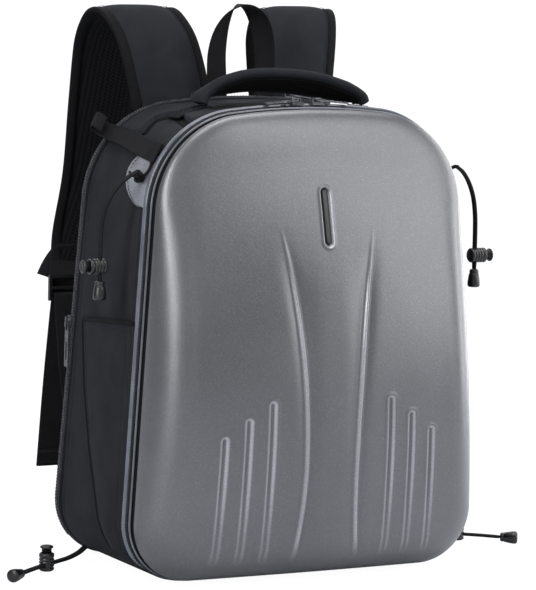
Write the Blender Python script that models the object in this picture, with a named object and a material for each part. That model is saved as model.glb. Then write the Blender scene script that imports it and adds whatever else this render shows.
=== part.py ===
"""Hard-shell drone backpack, standing upright.

Metres, +Z up, the shell faces -Y and the shoulder straps +Y. The origin is the centre of the base.
The case is a fabric gusset between a moulded front lid and a padded back panel. Both are zipped on
and fold open about their bottom seams.
"""

import math

import bmesh
import bpy
from mathutils import Matrix, Vector

# Case outline, seen from the front
BOTTOM_CORNER = (0.127, 0.060)  # centre of the lower corner arc, x and z
BOTTOM_RADIUS = 0.060
TOP_CORNER = (0.0715, 0.360)
TOP_RADIUS = 0.098
CROWN_ANGLE = math.radians(83.5)  # where the upper corner arc meets the crowned top

# Depths, measured from the front seam towards the back
FRONT_SEAM_Y = -0.085
GUSSET_DEPTH = 0.170
GUSSET_WALL = 0.004
SEAM = 0.003  # each zip tape's share of the seam
GAP = 0.0003
BACK_LEAN = 0.055  # how far the back comes forward, per metre of height

# Front shell
SHELL_WALL = 0.0035
SHELL_EDGE = 0.0135  # the shell's rear edge, ahead of the front seam
SHELL_INSET = 0.003
ROLL_OVER = 0.042
FACE_DEPTH = 0.0724
FACE_TILT = 0.0077
FACE_BOW = 0.0193
FACE_CROSS_BOW = 0.6
SLOT_LOW, SLOT_HIGH, SLOT_WIDTH = 0.330, 0.385, 0.011

# Interior
FOAM_FRONT, FOAM_BACK = 0.014, 0.124
PARTITION_THICKNESS = 0.005
DRONE_POCKET = (0.250, 0.245, 0.080)  # width, height, depth
DRONE_POCKET_Z = 0.270
BATTERY_POCKET = (0.080, 0.060, 0.060)
BATTERY_POCKET_Z = 0.085
SLEEVE = (0.270, 0.022, 0.300)
SLEEVE_WALL = 0.003

# Webbing, straps and handle
WEBBING_WIDTH = 0.025
WEBBING_THICKNESS = 0.0018
STRAP_THICKNESS = 0.011
HANDLE_Y = FRONT_SEAM_Y + 0.055
HANDLE_THICKNESS = 0.011
HANDLE_LEAN = math.radians(22)  # how far the arch lies back at rest
LOOP_Y = FRONT_SEAM_Y + 0.143

# Elastic cords and their locks
CORD_DIAMETER = 0.003
CORD_SPACING = 0.0037
LOCK_RADIUS = 0.0075
LOCK_LENGTH = 0.018
BUTTON_RADIUS = 0.0050
BUTTON_BORE = 0.0054
BELL_RADIUS = 0.0065
BELL_LENGTH = 0.018

# Zip sliders
SLIDER_SIZE = (0.012, 0.009, 0.0028)
FRONT_PULLER = 0.034
REAR_PULLER = 0.046

CHARCOAL = (0.030, 0.031, 0.036, 1)
BLACK = (0.012, 0.012, 0.013, 1)
SHELL_GREY = (0.150, 0.155, 0.165, 1)
REFLECTIVE = (0.480, 0.490, 0.500, 1)
GUNMETAL = (0.090, 0.092, 0.098, 1)
FOAM_GREY = (0.060, 0.060, 0.064, 1)


def depth(behind_seam):
    """World y of a plane this far behind the front seam."""
    return FRONT_SEAM_Y + behind_seam


def leaned(y, z):
    """A plane's y at this height, once the back has been leaned forward."""
    share = min(max((y - FRONT_SEAM_Y) / GUSSET_DEPTH, 0), 1)
    return y - BACK_LEAN * z * share


def back_depth(behind_seam, z):
    """World y of a point on the leaning back, by its distance behind the front seam at the base."""
    return depth(behind_seam) - BACK_LEAN * z


def clear_scene():
    for old in list(bpy.data.objects):
        bpy.data.objects.remove(old, do_unlink=True)


def material(name, colour, roughness, metallic=0.0):
    found = bpy.data.materials.get(name)
    if found:
        return found
    made = bpy.data.materials.new(name)
    made.use_nodes = True
    shader = made.node_tree.nodes["Principled BSDF"]
    shader.inputs["Base Color"].default_value = colour
    shader.inputs["Roughness"].default_value = roughness
    shader.inputs["Metallic"].default_value = metallic
    return made


def fabric():
    return material("pack_fabric", CHARCOAL, 0.8)


def webbing():
    return material("webbing", BLACK, 0.75)


def black_plastic():
    return material("black_plastic", BLACK, 0.45)


def mesh_object(name, verts, faces, mat, origin=(0, 0, 0)):
    """A closed body from world-space vertices, with its own origin."""
    shift = Vector(origin)
    bm = bmesh.new()
    made = [bm.verts.new(Vector(v) - shift) for v in verts]
    for face in faces:
        bm.faces.new([made[i] for i in face])
    bmesh.ops.recalc_face_normals(bm, faces=bm.faces)
    mesh = bpy.data.meshes.new(name)
    bm.to_mesh(mesh)
    bm.free()
    obj = bpy.data.objects.new(name, mesh)
    obj.location = shift
    obj.data.materials.append(mat)
    bpy.context.collection.objects.link(obj)
    mesh.shade_smooth()
    mesh.set_sharp_from_angle(angle=math.radians(35))
    return obj


def place_copy(name, mesh, mat, matrix):
    """An object that shares a mesh, placed by a matrix."""
    obj = bpy.data.objects.new(name, mesh)
    if not mesh.materials:
        mesh.materials.append(mat)
    obj.matrix_world = matrix
    bpy.context.collection.objects.link(obj)
    return obj


def cut(obj, cutter):
    """Cuts one shape out of an object and hides the cutter."""
    cutter.hide_render = True
    cutter.display_type = "WIRE"
    boolean = obj.modifiers.new("cut_" + cutter.name, "BOOLEAN")
    boolean.operation = "DIFFERENCE"
    boolean.object = cutter


def arc(centre, radius, start, end, steps):
    """Points on an arc, both ends included."""
    angles = (start + (end - start) * i / steps for i in range(steps + 1))
    return [(centre[0] + radius * math.cos(a), centre[1] + radius * math.sin(a)) for a in angles]


def side_angle():
    """Tilt of the side's outward normal, from the two corner arcs' common tangent."""
    run = BOTTOM_CORNER[0] - TOP_CORNER[0]
    rise = TOP_CORNER[1] - BOTTOM_CORNER[1]
    turn = math.acos((TOP_RADIUS - BOTTOM_RADIUS) / math.hypot(run, rise))
    return turn - math.atan2(rise, run)


def half_width(z):
    """Half the case's width on its straight sides."""
    tilt = side_angle()
    level = math.cos(tilt) * BOTTOM_CORNER[0] + math.sin(tilt) * BOTTOM_CORNER[1] + BOTTOM_RADIUS
    return (level - math.sin(tilt) * z) / math.cos(tilt)


def crown():
    """Centre height and radius of the crowned top."""
    radius = TOP_RADIUS + TOP_CORNER[0] / math.cos(CROWN_ANGLE)
    return TOP_CORNER[1] - (radius - TOP_RADIUS) * math.sin(CROWN_ANGLE), radius


def top_z(x, inset=0.0):
    """Height of the crowned top above a point."""
    centre, radius = crown()
    return centre + math.sqrt((radius - inset) ** 2 - x * x)


def outline(inset=0.0):
    """The case's outline as (x, z), anticlockwise from the bottom's middle."""
    tilt = side_angle()
    low = arc(BOTTOM_CORNER, BOTTOM_RADIUS - inset, -math.pi / 2, tilt, 7)
    high = arc(TOP_CORNER, TOP_RADIUS - inset, tilt, CROWN_ANGLE, 8)
    crown_z, crown_radius = crown()
    top = arc((0, crown_z), crown_radius - inset, CROWN_ANGLE, math.pi / 2, 3)
    start, end = low[-1], high[0]
    side = []
    for i in (1, 2, 3):
        side.append((start[0] + (end[0] - start[0]) * i / 4, start[1] + (end[1] - start[1]) * i / 4))
    bottom = [(low[0][0] * i / 3, low[0][1]) for i in range(3)]
    right = bottom + low + side + high + top[1:]
    left = [(-x, z) for x, z in reversed(right[1:-1])]
    return right + left


def loft(rings, close_first=True, close_last=True, cyclic=False):
    """Vertices and faces of a skin through rings of equal length."""
    count = len(rings[0])
    verts = [v for ring in rings for v in ring]
    faces = []
    pairs = len(rings) if cyclic else len(rings) - 1
    for k in range(pairs):
        low, high = k * count, ((k + 1) % len(rings)) * count
        for i in range(count):
            j = (i + 1) % count
            faces.append((low + i, low + j, high + j, high + i))
    if close_first and not cyclic:
        faces.append(tuple(range(count)))
    if close_last and not cyclic:
        faces.append(tuple(range(len(verts) - count, len(verts))))
    return verts, faces


def band(name, profile, mat, origin=(0, 0, 0)):
    """A frame that follows the case's outline, from a closed profile of (inset, y)."""
    rings = [[(x, leaned(y, z), z) for x, z in outline(inset)] for inset, y in profile]
    verts, faces = loft(rings, cyclic=True)
    return mesh_object(name, verts, faces, mat, origin)


def square_band(name, inset, width, y_front, y_back, mat, origin=(0, 0, 0)):
    profile = [(inset, y_front), (inset, y_back), (inset + width, y_back), (inset + width, y_front)]
    return band(name, profile, mat, origin)


def plate(name, inset, y_front, y_back, mat, origin=(0, 0, 0), below=None, leans=False):
    """A flat panel of the case's outline, cut off level if below is given."""
    points = outline(inset)
    if below:
        kept = [p for p in points if p[1] < below]
        right = [p for p in kept if p[0] >= 0]
        left = [p for p in kept if p[0] < 0]
        corner = half_width(below) - inset
        points = right + [(corner, below), (-corner, below)] + left
    rings = [[(x, leaned(y, z) if leans else y, z) for x, z in points] for y in (y_front, y_back)]
    verts, faces = loft(rings)
    return mesh_object(name, verts, faces, mat, origin)


def ribbon(name, path, across, widths, thickness, mat, origin=(0, 0, 0)):
    """A strap: a flat section swept along a path, its width lying along the across vectors."""
    points = [Vector(p) for p in path]
    rings = []
    for i, point in enumerate(points):
        ahead = points[min(i + 1, len(points) - 1)] - points[max(i - 1, 0)]
        wide = Vector(across[i] if isinstance(across, list) else across).normalized()
        thick = ahead.cross(wide).normalized() * thickness / 2
        wide = wide * (widths[i] if isinstance(widths, list) else widths) / 2
        upper = [point + wide + thick, point - wide + thick]
        rings.append(upper + [point - wide - thick, point + wide - thick])
    verts, faces = loft(rings)
    return mesh_object(name, verts, faces, mat, origin)


def smooth_path(points, steps):
    """A Catmull-Rom curve through hand-set points."""
    points = [Vector(p) for p in points]
    ends = [2 * points[0] - points[1]] + points + [2 * points[-1] - points[-2]]
    made = []
    for a, b, c, d in zip(ends, ends[1:], ends[2:], ends[3:]):
        for k in range(steps):
            t = k / steps
            turn = (2 * a - 5 * b + 4 * c - d) * t**2
            made.append(0.5 * (2 * b + (c - a) * t + turn + (3 * b - 3 * c + d - a) * t**3))
    return made + [points[-1]]


def box(name, low, high, mat=None, origin=(0, 0, 0)):
    rings = []
    for z in (low[2], high[2]):
        near = [(low[0], low[1], z), (high[0], low[1], z)]
        rings.append(near + [(high[0], high[1], z), (low[0], high[1], z)])
    verts, faces = loft(rings)
    return mesh_object(name, verts, faces, mat or black_plastic(), origin)


# ---- Front lid ----

LID_HINGE = (0, FRONT_SEAM_Y, 0)
PANEL_HINGE = (0, FRONT_SEAM_Y + GUSSET_DEPTH, 0)


def face_depth(x, z):
    """How far the shell's front face stands ahead of the front seam."""
    rise = (z - 0.200) / 0.170
    bowed = FACE_DEPTH - FACE_TILT * rise - FACE_BOW * rise * rise - FACE_CROSS_BOW * x * x
    return max(bowed, SHELL_EDGE + 0.012)


def shell_ring(edge, wall=0.0):
    """One ring of the dome, edge metres in from the case's outline, wall metres inside the outer skin."""
    across = min((edge - SHELL_INSET) / ROLL_OVER, 1.0)
    roll = math.sqrt(1 - (1 - across) ** 2)
    ring = []
    for x, z in outline(edge + wall):
        reach = SHELL_EDGE + (face_depth(x, z) - SHELL_EDGE) * roll
        ring.append((x, depth(-max(reach - wall * roll, SHELL_EDGE)), z))
    return ring


def shell_cap(ring, factors, wall=0.0):
    """Rings that close the dome's front face, shrinking towards its middle."""
    middle_z = 0.225
    rings = []
    for factor in factors:
        points = [(x * factor, middle_z + (z - middle_z) * factor) for x, _, z in ring]
        rings.append([(x, depth(-face_depth(x, z) + wall), z) for x, z in points])
    return rings


def front_shell():
    steps = (0.0, 0.001, 0.004, 0.009, 0.017, 0.028, ROLL_OVER)
    outer = [shell_ring(SHELL_INSET + step) for step in steps]
    inner = [shell_ring(SHELL_INSET + step, SHELL_WALL) for step in (0.0, 0.004, 0.014, 0.040)]
    shrink = (0.7, 0.4, 0.12)
    rings = list(reversed(outer + shell_cap(outer[-1], shrink)))
    rings += inner + shell_cap(inner[-1], shrink, SHELL_WALL)
    verts, faces = loft(rings)
    mesh_object("front_shell", verts, faces, material("shell_plastic", SHELL_GREY, 0.35), LID_HINGE)


def lid():
    front_shell()
    trim_profile = [
        (0.0030, depth(-0.0132)),
        (0.0012, depth(-0.0115)),
        (0.0005, depth(-0.0080)),
        (0.0012, depth(-0.0045)),
        (0.0030, depth(-0.0031)),
        (0.0075, depth(-0.0031)),
        (0.0075, depth(-0.0132)),
    ]
    band("shell_edge_trim", trim_profile, material("trim_rubber", (0.085, 0.092, 0.105, 1), 0.35), LID_HINGE)
    square_band("lid_zip_tape", 0.0015, 0.008, depth(-0.0028), depth(-GAP), webbing(), LID_HINGE)
    plate("lid_mesh_pocket", 0.0090, depth(-0.0120), depth(-0.0100), fabric(), LID_HINGE, below=0.260)
    path = [(0, depth(-face_depth(0, z) - 0.0016), z) for z in (SLOT_LOW, 0.344, 0.358, 0.371, SLOT_HIGH)]
    ribbon("slot_inlay", path, (1, 0, 0), SLOT_WIDTH, 0.0016, black_plastic(), LID_HINGE)


# ---- Case body ----


def gusset():
    square_band("gusset", 0.0, GUSSET_WALL, depth(SEAM), depth(GUSSET_DEPTH - SEAM), fabric())
    square_band("front_zip_tape", 0.0015, 0.008, depth(GAP), depth(SEAM - GAP), webbing())
    rear = depth(GUSSET_DEPTH)
    square_band("rear_zip_tape", 0.0015, 0.008, rear - SEAM + GAP, rear - GAP, webbing())


def pocket_cutter(name, size, x, z):
    front = depth(FOAM_FRONT)
    low = (x - size[0] / 2, front - 0.005, z - size[1] / 2)
    high = (x + size[0] / 2, front + size[2], z + size[1] / 2)
    return box(name, low, high)


def interior():
    inset = GUSSET_WALL + GAP
    foam = material("foam", FOAM_GREY, 0.95)
    cradle = plate("foam_cradle", inset, depth(FOAM_FRONT), depth(FOAM_BACK), foam)
    cut(cradle, pocket_cutter("drone_cutter", DRONE_POCKET, 0, DRONE_POCKET_Z))
    places = ((-1, "battery_cutter_left"), (0, "battery_cutter_middle"), (1, "battery_cutter_right"))
    for side, name in places:
        cut(cradle, pocket_cutter(name, BATTERY_POCKET, side * 0.095, BATTERY_POCKET_Z))
    start = FOAM_BACK + GAP
    plate("partition", inset, depth(start), depth(start + PARTITION_THICKNESS), fabric())
    laptop_sleeve(start + PARTITION_THICKNESS + GAP)


def laptop_sleeve(start):
    """An open-topped pocket on the partition."""
    width, thick, height = SLEEVE
    base = 0.012
    low = (-width / 2, depth(start), base)
    sleeve = box("laptop_sleeve", low, (width / 2, depth(start + thick), base + height), fabric())
    wall = SLEEVE_WALL
    low = (-width / 2 + wall, depth(start + wall), base + wall)
    high = (width / 2 - wall, depth(start + thick - wall), base + height + 0.010)
    cut(sleeve, box("sleeve_cutter", low, high))


def side_prism(name, corners, near, far, side, mat):
    """A slab on the case's side, from (behind seam, height) corners and two distances off the side."""
    rings = []
    for off in (near, far):
        rings.append([(side * (half_width(z) + off), depth(y), z) for y, z in corners])
    verts, faces = loft(rings)
    return mesh_object(name, verts, faces, mat)


POCKET_CORNERS = (
    (0.008, 0.072),
    (0.066, 0.072),
    (0.090, 0.120),
    (0.112, 0.180),
    (0.128, 0.243),
    (0.070, 0.245),
    (0.008, 0.250),
)
POCKET_CAVITY = (
    (0.012, 0.078),
    (0.062, 0.078),
    (0.086, 0.122),
    (0.108, 0.181),
    (0.124, 0.262),
    (0.012, 0.262),
)
POCKET_DEPTH = 0.014


def side_name(side):
    return "left" if side < 0 else "right"


def side_pockets():
    for side in (-1, 1):
        name = "side_pocket_" + side_name(side)
        pocket = side_prism(name, POCKET_CORNERS, GAP, POCKET_DEPTH, side, fabric())
        inner = POCKET_DEPTH - 0.002
        cut(pocket, side_prism("cavity_" + side_name(side), POCKET_CAVITY, 0.002, inner, side, fabric()))


def corner_point(angle, off):
    """A point on the upper corner arc, off metres outside it, for the +X side."""
    reach = TOP_RADIUS + off
    return (TOP_CORNER[0] + reach * math.cos(angle), TOP_CORNER[1] + reach * math.sin(angle))


def reflective_patches():
    """Leaf-shaped patches that wrap round the upper corners beside the front seam."""
    steps = 5
    reach = (0.010, 0.026, 0.038, 0.040, 0.030, 0.010)
    for side in (-1, 1):
        rings = []
        for i in range(steps + 1):
            angle = side_angle() + (math.radians(34) - side_angle()) * i / steps
            corners = []
            far = 0.005 + reach[i]
            for off, back in ((0.0003, 0.005), (0.0003, far), (0.0013, far), (0.0013, 0.005)):
                x, z = corner_point(angle, off)
                corners.append((side * x, depth(back), z))
            rings.append(corners)
        verts, faces = loft(rings)
        mat = material("reflective_film", REFLECTIVE, 0.4)
        mesh_object("reflective_patch_" + side_name(side), verts, faces, mat)


GEAR_LOOP = (
    # degrees round the corner, behind the front seam, off the case
    (34.0, 0.0060, 0.0042),
    (38.0, 0.0460, 0.0044),
    (43.5, 0.0960, 0.0046),
    (46.5, 0.1240, 0.0060),
    (47.5, 0.1370, 0.0066),
    (48.0, 0.1445, 0.0115),
    (48.0, 0.1440, 0.0195),
    (48.0, 0.1365, 0.0240),
    (48.0, 0.1285, 0.0215),
    (48.0, 0.1255, 0.0155),
)


def gear_loops():
    """Webbing that crosses each shoulder of the case aslant and ends in an open rolled loop."""
    for side in (-1, 1):
        path = []
        across = []
        for degrees, back, off in GEAR_LOOP:
            angle = math.radians(degrees)
            x, z = corner_point(angle, off)
            path.append((side * x, depth(back), z))
            across.append((-side * math.sin(angle), 0, math.cos(angle)))
        ribbon("gear_loop_" + side_name(side), path, across, 0.022, WEBBING_THICKNESS, webbing())


# ---- Handle and hang loop ----


HANDLE_HALF = (
    # x, rise along the arch, share of the arch's lean that the band's width takes
    (-0.090, -0.0010, 0.00),
    (-0.086, 0.0070, 0.35),
    (-0.070, 0.0152, 0.80),
    (-0.045, 0.0204, 1.00),
    (-0.018, 0.0226, 1.00),
)
HANDLE_WIDTHS = [0.026, 0.030, 0.034, 0.037, 0.038, 0.038, 0.037, 0.034, 0.030, 0.026]


def carry_handle():
    """A padded arch that lies back over the top of the case."""
    base = top_z(0) + 0.001
    route = list(HANDLE_HALF) + [(-x, rise, share) for x, rise, share in reversed(HANDLE_HALF)]
    path = []
    across = []
    for x, rise, share in route:
        lean = HANDLE_LEAN * share
        path.append((x, HANDLE_Y + rise * math.sin(HANDLE_LEAN), base + rise * math.cos(HANDLE_LEAN)))
        across.append((0, math.cos(lean), -math.sin(lean)))
    ribbon("carry_handle", path, across, HANDLE_WIDTHS, HANDLE_THICKNESS, fabric(), (0, HANDLE_Y, base))


LOOP_HALF_SPAN = 0.027
LOOP_ROUTE = (
    # share of the half span, rise
    (-1.000, 0.000),
    (-1.037, 0.020),
    (-1.037, 0.045),
    (-0.852, 0.068),
    (-0.481, 0.085),
    (0.000, 0.092),
    (0.481, 0.085),
    (0.815, 0.068),
    (0.963, 0.045),
    (1.000, 0.020),
    (1.000, 0.000),
)


def hang_loop():
    """An upright loop of webbing that turns half way round on its way over."""
    base = top_z(0) + 0.002
    path = [(share * LOOP_HALF_SPAN, LOOP_Y, base + rise) for share, rise in LOOP_ROUTE]
    across = []
    for i in range(len(path)):
        share = i / (len(path) - 1)
        twist = math.pi * (share - math.sin(2 * math.pi * share) / (2 * math.pi))
        across.append((math.cos(twist), math.sin(twist), 0))
    ribbon("hang_loop", path, across, 0.022, WEBBING_THICKNESS, webbing(), (0, LOOP_Y, base))


# ---- Back panel ----

STRAP_PATH = (
    (0.0660, 0.1835, 0.420),
    (0.0680, 0.1860, 0.450),
    (0.0730, 0.1930, 0.485),
    (0.0800, 0.2040, 0.520),
    (0.0870, 0.2200, 0.541),
    (0.0910, 0.2375, 0.549),
    (0.0950, 0.2560, 0.542),
    (0.0980, 0.2740, 0.514),
    (0.1040, 0.2778, 0.450),
    (0.1110, 0.2789, 0.380),
    (0.1245, 0.2776, 0.320),
    (0.1320, 0.2717, 0.286),
)
STRAP_WIDTHS = (0.080, 0.088, 0.090, 0.090, 0.090, 0.090, 0.088, 0.085, 0.078, 0.070, 0.062, 0.056)
BUCKLE_CENTRE = (0.150, 0.2545, 0.2630)
BUCKLE = (0.034, 0.004, 0.026)
BUCKLE_WINDOW = (0.028, 0.0085)
BUCKLE_BAR = BUCKLE_CENTRE[2] - BUCKLE[2] / 2 + 0.0015
ADJUSTER_PATH = (
    (0.151, 0.1815, 0.048),
    (0.151, 0.1850, 0.075),
    (0.151, 0.2010, 0.110),
    (0.151, 0.2270, 0.175),
    (0.150, 0.2440, 0.225),
    (0.150, 0.2505, BUCKLE_BAR),
    (0.150, 0.2520, BUCKLE_BAR + 0.0045),
    (0.150, 0.2545, BUCKLE_BAR + 0.0058),
    (0.150, 0.2570, BUCKLE_BAR + 0.0045),
    (0.150, 0.2585, BUCKLE_BAR),
    (0.152, 0.2585, 0.225),
    (0.157, 0.2568, 0.160),
    (0.163, 0.2523, 0.078),
)


def pad(name, low, high, front, back):
    """A cushion with rounded corners and a crowned face, from front to back."""
    centre = ((low[0] + high[0]) / 2, (low[1] + high[1]) / 2)
    size = ((high[0] - low[0]) / 2, (high[1] - low[1]) / 2)
    rings = []
    for back_share, scale in ((0.0, 0.97), (0.35, 1.0), (0.75, 0.96), (1.0, 0.84)):
        ring = []
        for i in range(24):
            turn = 2 * math.pi * i / 24
            c, s = math.cos(turn), math.sin(turn)
            x = centre[0] + size[0] * scale * math.copysign(abs(c) ** 0.45, c)
            z = centre[1] + size[1] * scale * math.copysign(abs(s) ** 0.45, s)
            ring.append((x, front + (back - front) * back_share - BACK_LEAN * z, z))
        rings.append(ring)
    verts, faces = loft(rings)
    mesh_object(name, verts, faces, material("air_mesh", BLACK, 0.95), PANEL_HINGE)


def back_panel():
    seam = GUSSET_DEPTH
    start = depth(seam + GAP)
    square_band("panel_zip_tape", 0.0015, 0.008, start, depth(seam + SEAM), webbing(), PANEL_HINGE)
    board_front = seam + SEAM + GAP
    board_back = depth(board_front + 0.004)
    plate("back_board", 0.0015, depth(board_front), board_back, fabric(), PANEL_HINGE, leans=True)
    face = depth(board_front + 0.004 + GAP)
    for side in (-1, 1):
        low, high = sorted((side * 0.014, side * 0.140))
        pad("back_pad_" + side_name(side), (low, 0.150), (high, 0.402), face, face + 0.017)
    pad("lumbar_pad", (-0.125, 0.030), (0.125, 0.138), face, face + 0.019)


def shoulder_straps():
    for side in (-1, 1):
        path = [(side * x, back_depth(y, z), z) for x, y, z in STRAP_PATH]
        name = "shoulder_strap_" + side_name(side)
        ribbon(name, path, (1, 0, 0), list(STRAP_WIDTHS), STRAP_THICKNESS, fabric(), PANEL_HINGE)
        adjuster(side)


def adjuster(side):
    """The buckle at the strap's lower end and the webbing that runs round its lower bar."""
    x, y, z = BUCKLE_CENTRE
    centre = Vector((side * x, back_depth(y, z), z))
    half = Vector(BUCKLE) / 2
    name = "strap_buckle_" + side_name(side)
    buckle = box(name, centre - half, centre + half, black_plastic(), PANEL_HINGE)
    for share, name in ((-1, "low_window_"), (1, "high_window_")):
        reach = Vector((BUCKLE_WINDOW[0] / 2, BUCKLE[1], BUCKLE_WINDOW[1] / 2))
        middle = centre + Vector((0, 0, share * (BUCKLE_WINDOW[1] / 2 + 0.0015)))
        cut(buckle, box(name + side_name(side), middle - reach, middle + reach))
    path = [(side * a, back_depth(b, c), c) for a, b, c in ADJUSTER_PATH]
    name = "adjuster_webbing_" + side_name(side)
    ribbon(name, path, (1, 0, 0), WEBBING_WIDTH, WEBBING_THICKNESS, webbing(), PANEL_HINGE)


# ---- Zip sliders ----

BRIDGE = (0.0100, 0.0030, 0.0042)
PIVOT_RISE = 0.0018  # pivot bar above the slider's body
PULLER_DROOP = math.radians(4)


def slider_mesh():
    """A slider whose zip runs along local X, its underside at z = 0."""
    length, width, height = SLIDER_SIZE
    body = box("slider_body", (-length / 2, -width / 2, 0), (length / 2, width / 2, height))
    low = (-BRIDGE[0] / 2, -BRIDGE[1] / 2, height - 0.0005)
    bridge = box("slider_bridge", low, (BRIDGE[0] / 2, BRIDGE[1] / 2, height + BRIDGE[2]))
    window_low = (-BRIDGE[0] / 2 + 0.0013, -BRIDGE[1], height)
    window_high = (BRIDGE[0] / 2 - 0.0013, BRIDGE[1], height + BRIDGE[2] - 0.0011)
    return fused((body, bridge), (box("slider_window", window_low, window_high),))


def puller_mesh(length):
    """A puller that lies along +X from its pivot bar at the origin."""
    bar = 0.0008
    plate_half = 0.0042
    blade = box("puller_blade", (-bar, -plate_half, -bar), (length, plate_half, bar))
    window = box("puller_window", (bar, -0.0022, -0.01), (0.0088, 0.0022, 0.01))
    slot = box("puller_slot", (length * 0.45, -0.0016, -0.01), (length * 0.85, 0.0016, 0.01))
    return fused((blade,), (window, slot))


def fused(solids, cutters):
    """One mesh from a union of solids less some cutters; the helpers are removed."""
    base = solids[0]
    for other in solids[1:]:
        union = base.modifiers.new("union", "BOOLEAN")
        union.operation = "UNION"
        union.object = other
    for cutter in cutters:
        cut(base, cutter)
    graph = bpy.context.evaluated_depsgraph_get()
    graph.update()
    mesh = bpy.data.meshes.new_from_object(base.evaluated_get(graph))
    for helper in (*solids, *cutters):
        bpy.data.objects.remove(helper, do_unlink=True)
    return mesh


def frame_matrix(point, along, up):
    """A placement with local X along one direction and local Z up another."""
    x = Vector(along).normalized()
    z = Vector(up)
    z = (z - x * z.dot(x)).normalized()
    y = z.cross(x)
    turn = Matrix((x, y, z)).transposed().to_4x4()
    return Matrix.Translation(point) @ turn


def zip_slider(name, mesh, puller, point, along, up):
    """A slider on the seam, its puller trailing along the given direction."""
    steel = material("zip_metal", GUNMETAL, 0.4, 0.8)
    place = frame_matrix(point, along, up)
    place_copy(name + "_slider", mesh, steel, place)
    droop = Matrix.Rotation(PULLER_DROOP, 4, "Y")
    pivot = place @ Matrix.Translation((0, 0, SLIDER_SIZE[2] + PIVOT_RISE)) @ droop
    place_copy(name + "_puller", puller, steel, pivot)


SLIDER_LIFT = 0.0006
FRONT_SLIDER_X = 0.011
REAR_TOP_SLIDER_X = 0.055
REAR_SIDE_SLIDER_Z = 0.238


def zip_sliders():
    slider = slider_mesh()
    short, long = puller_mesh(FRONT_PULLER), puller_mesh(REAR_PULLER)
    for side in (-1, 1):
        x = side * FRONT_SLIDER_X
        spot = (x, FRONT_SEAM_Y, top_z(x) + SLIDER_LIFT)
        zip_slider("front_" + side_name(side), slider, short, spot, (side, 0, -0.02), (0, 0, 1))
    tilt = side_angle()
    out = Vector((-math.cos(tilt), 0, math.sin(tilt)))
    z = REAR_SIDE_SLIDER_Z
    spot = Vector((-half_width(z), back_depth(GUSSET_DEPTH, z), z)) + out * SLIDER_LIFT
    down = (-math.sin(tilt), BACK_LEAN * math.cos(tilt), -math.cos(tilt))
    zip_slider("rear_side", slider, long, spot, down, out)
    x = REAR_TOP_SLIDER_X
    slope = (top_z(x) - top_z(x - 0.01)) / 0.01
    spot = (x, back_depth(GUSSET_DEPTH, top_z(x)), top_z(x) + SLIDER_LIFT)
    zip_slider("rear_top", slider, long, spot, (1, -BACK_LEAN * slope, slope), (-slope, 0, 1))


# ---- Elastic cords ----


def lock_mesh():
    """A barrel cord lock: barrel along local X, the cords' passage along local Z, button bore at +X."""
    end = LOCK_LENGTH / 2
    barrel = turned("lock_barrel", ((-end, 0.0062), (-end + 0.0015, LOCK_RADIUS), (end, LOCK_RADIUS)))
    bore = turned("lock_bore", ((end - 0.0075, BUTTON_BORE), (end + 0.003, BUTTON_BORE)))
    half = CORD_SPACING / 2 + CORD_DIAMETER / 2 + 0.0006
    passage = box("lock_passage", (-0.0028 - 0.0022, -half, -0.02), (-0.0028 + 0.0022, half, 0.02))
    return fused((barrel,), (bore, passage))


def turned(name, profile, sides=16):
    """A solid of revolution about X, from (x, radius) pairs."""
    rings = []
    for x, radius in profile:
        turns = [2 * math.pi * i / sides for i in range(sides)]
        rings.append([(x, radius * math.cos(turn), radius * math.sin(turn)) for turn in turns])
    verts, faces = loft(rings)
    return mesh_object(name, verts, faces, black_plastic())


def button_mesh():
    end = LOCK_LENGTH / 2
    stem = ((end - 0.0030, BUTTON_RADIUS), (end + 0.0048, BUTTON_RADIUS))
    made = turned("button", stem + ((end + 0.0048, 0.0066), (end + 0.0075, 0.0060)))
    return fused((made,), ())


def bell_mesh():
    """A bell end along local -Z from its cord face at the origin."""
    mouth = ((0, 0.0044), (0.0030, 0.0050), (0.0120, BELL_RADIUS))
    made = turned("bell", mouth + ((BELL_LENGTH - 0.001, BELL_RADIUS), (BELL_LENGTH, 0.0054)), 12)
    return fused((made,), ())


# Middle line of each doubled cord for the +X side, then where its lock sits and how the pair lies
UPPER_ROUTE = (
    (0.1755, 0.0080, 0.4000),
    (0.1850, 0.0105, 0.3940),
    (0.1950, 0.0150, 0.3830),
    (0.2030, 0.0190, 0.3680),
    (0.2070, 0.0210, 0.3500),
    (0.2080, 0.0215, 0.3300),
    (0.2080, 0.0215, 0.2940),
)
LOWER_ROUTE = (
    (0.1750, 0.1200, 0.0160),
    (0.1830, 0.1170, 0.0115),
    (0.1930, 0.1115, 0.0090),
    (0.2030, 0.1045, 0.0082),
    (0.2130, 0.0975, 0.0082),
    (0.2330, 0.0835, 0.0082),
    (0.2530, 0.0695, 0.0078),
    (0.2700, 0.0576, 0.0070),
)
UPPER_LOCK = (0.2080, 0.0215, 0.3080)
LOWER_LOCK = (0.2330, 0.0835, 0.0082)
LOWER_RUN = (0.0200, -0.0140, 0.0)


def cord_strand(name, path):
    curve = bpy.data.curves.new(name, "CURVE")
    curve.dimensions = "3D"
    curve.bevel_depth = CORD_DIAMETER / 2
    curve.bevel_resolution = 2
    curve.use_fill_caps = True
    spline = curve.splines.new("POLY")
    spline.points.add(len(path) - 1)
    for point, spot in zip(spline.points, path):
        point.co = (*spot, 1)
    obj = bpy.data.objects.new(name, curve)
    curve.materials.append(material("elastic_cord", BLACK, 0.7))
    bpy.context.collection.objects.link(obj)


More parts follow.
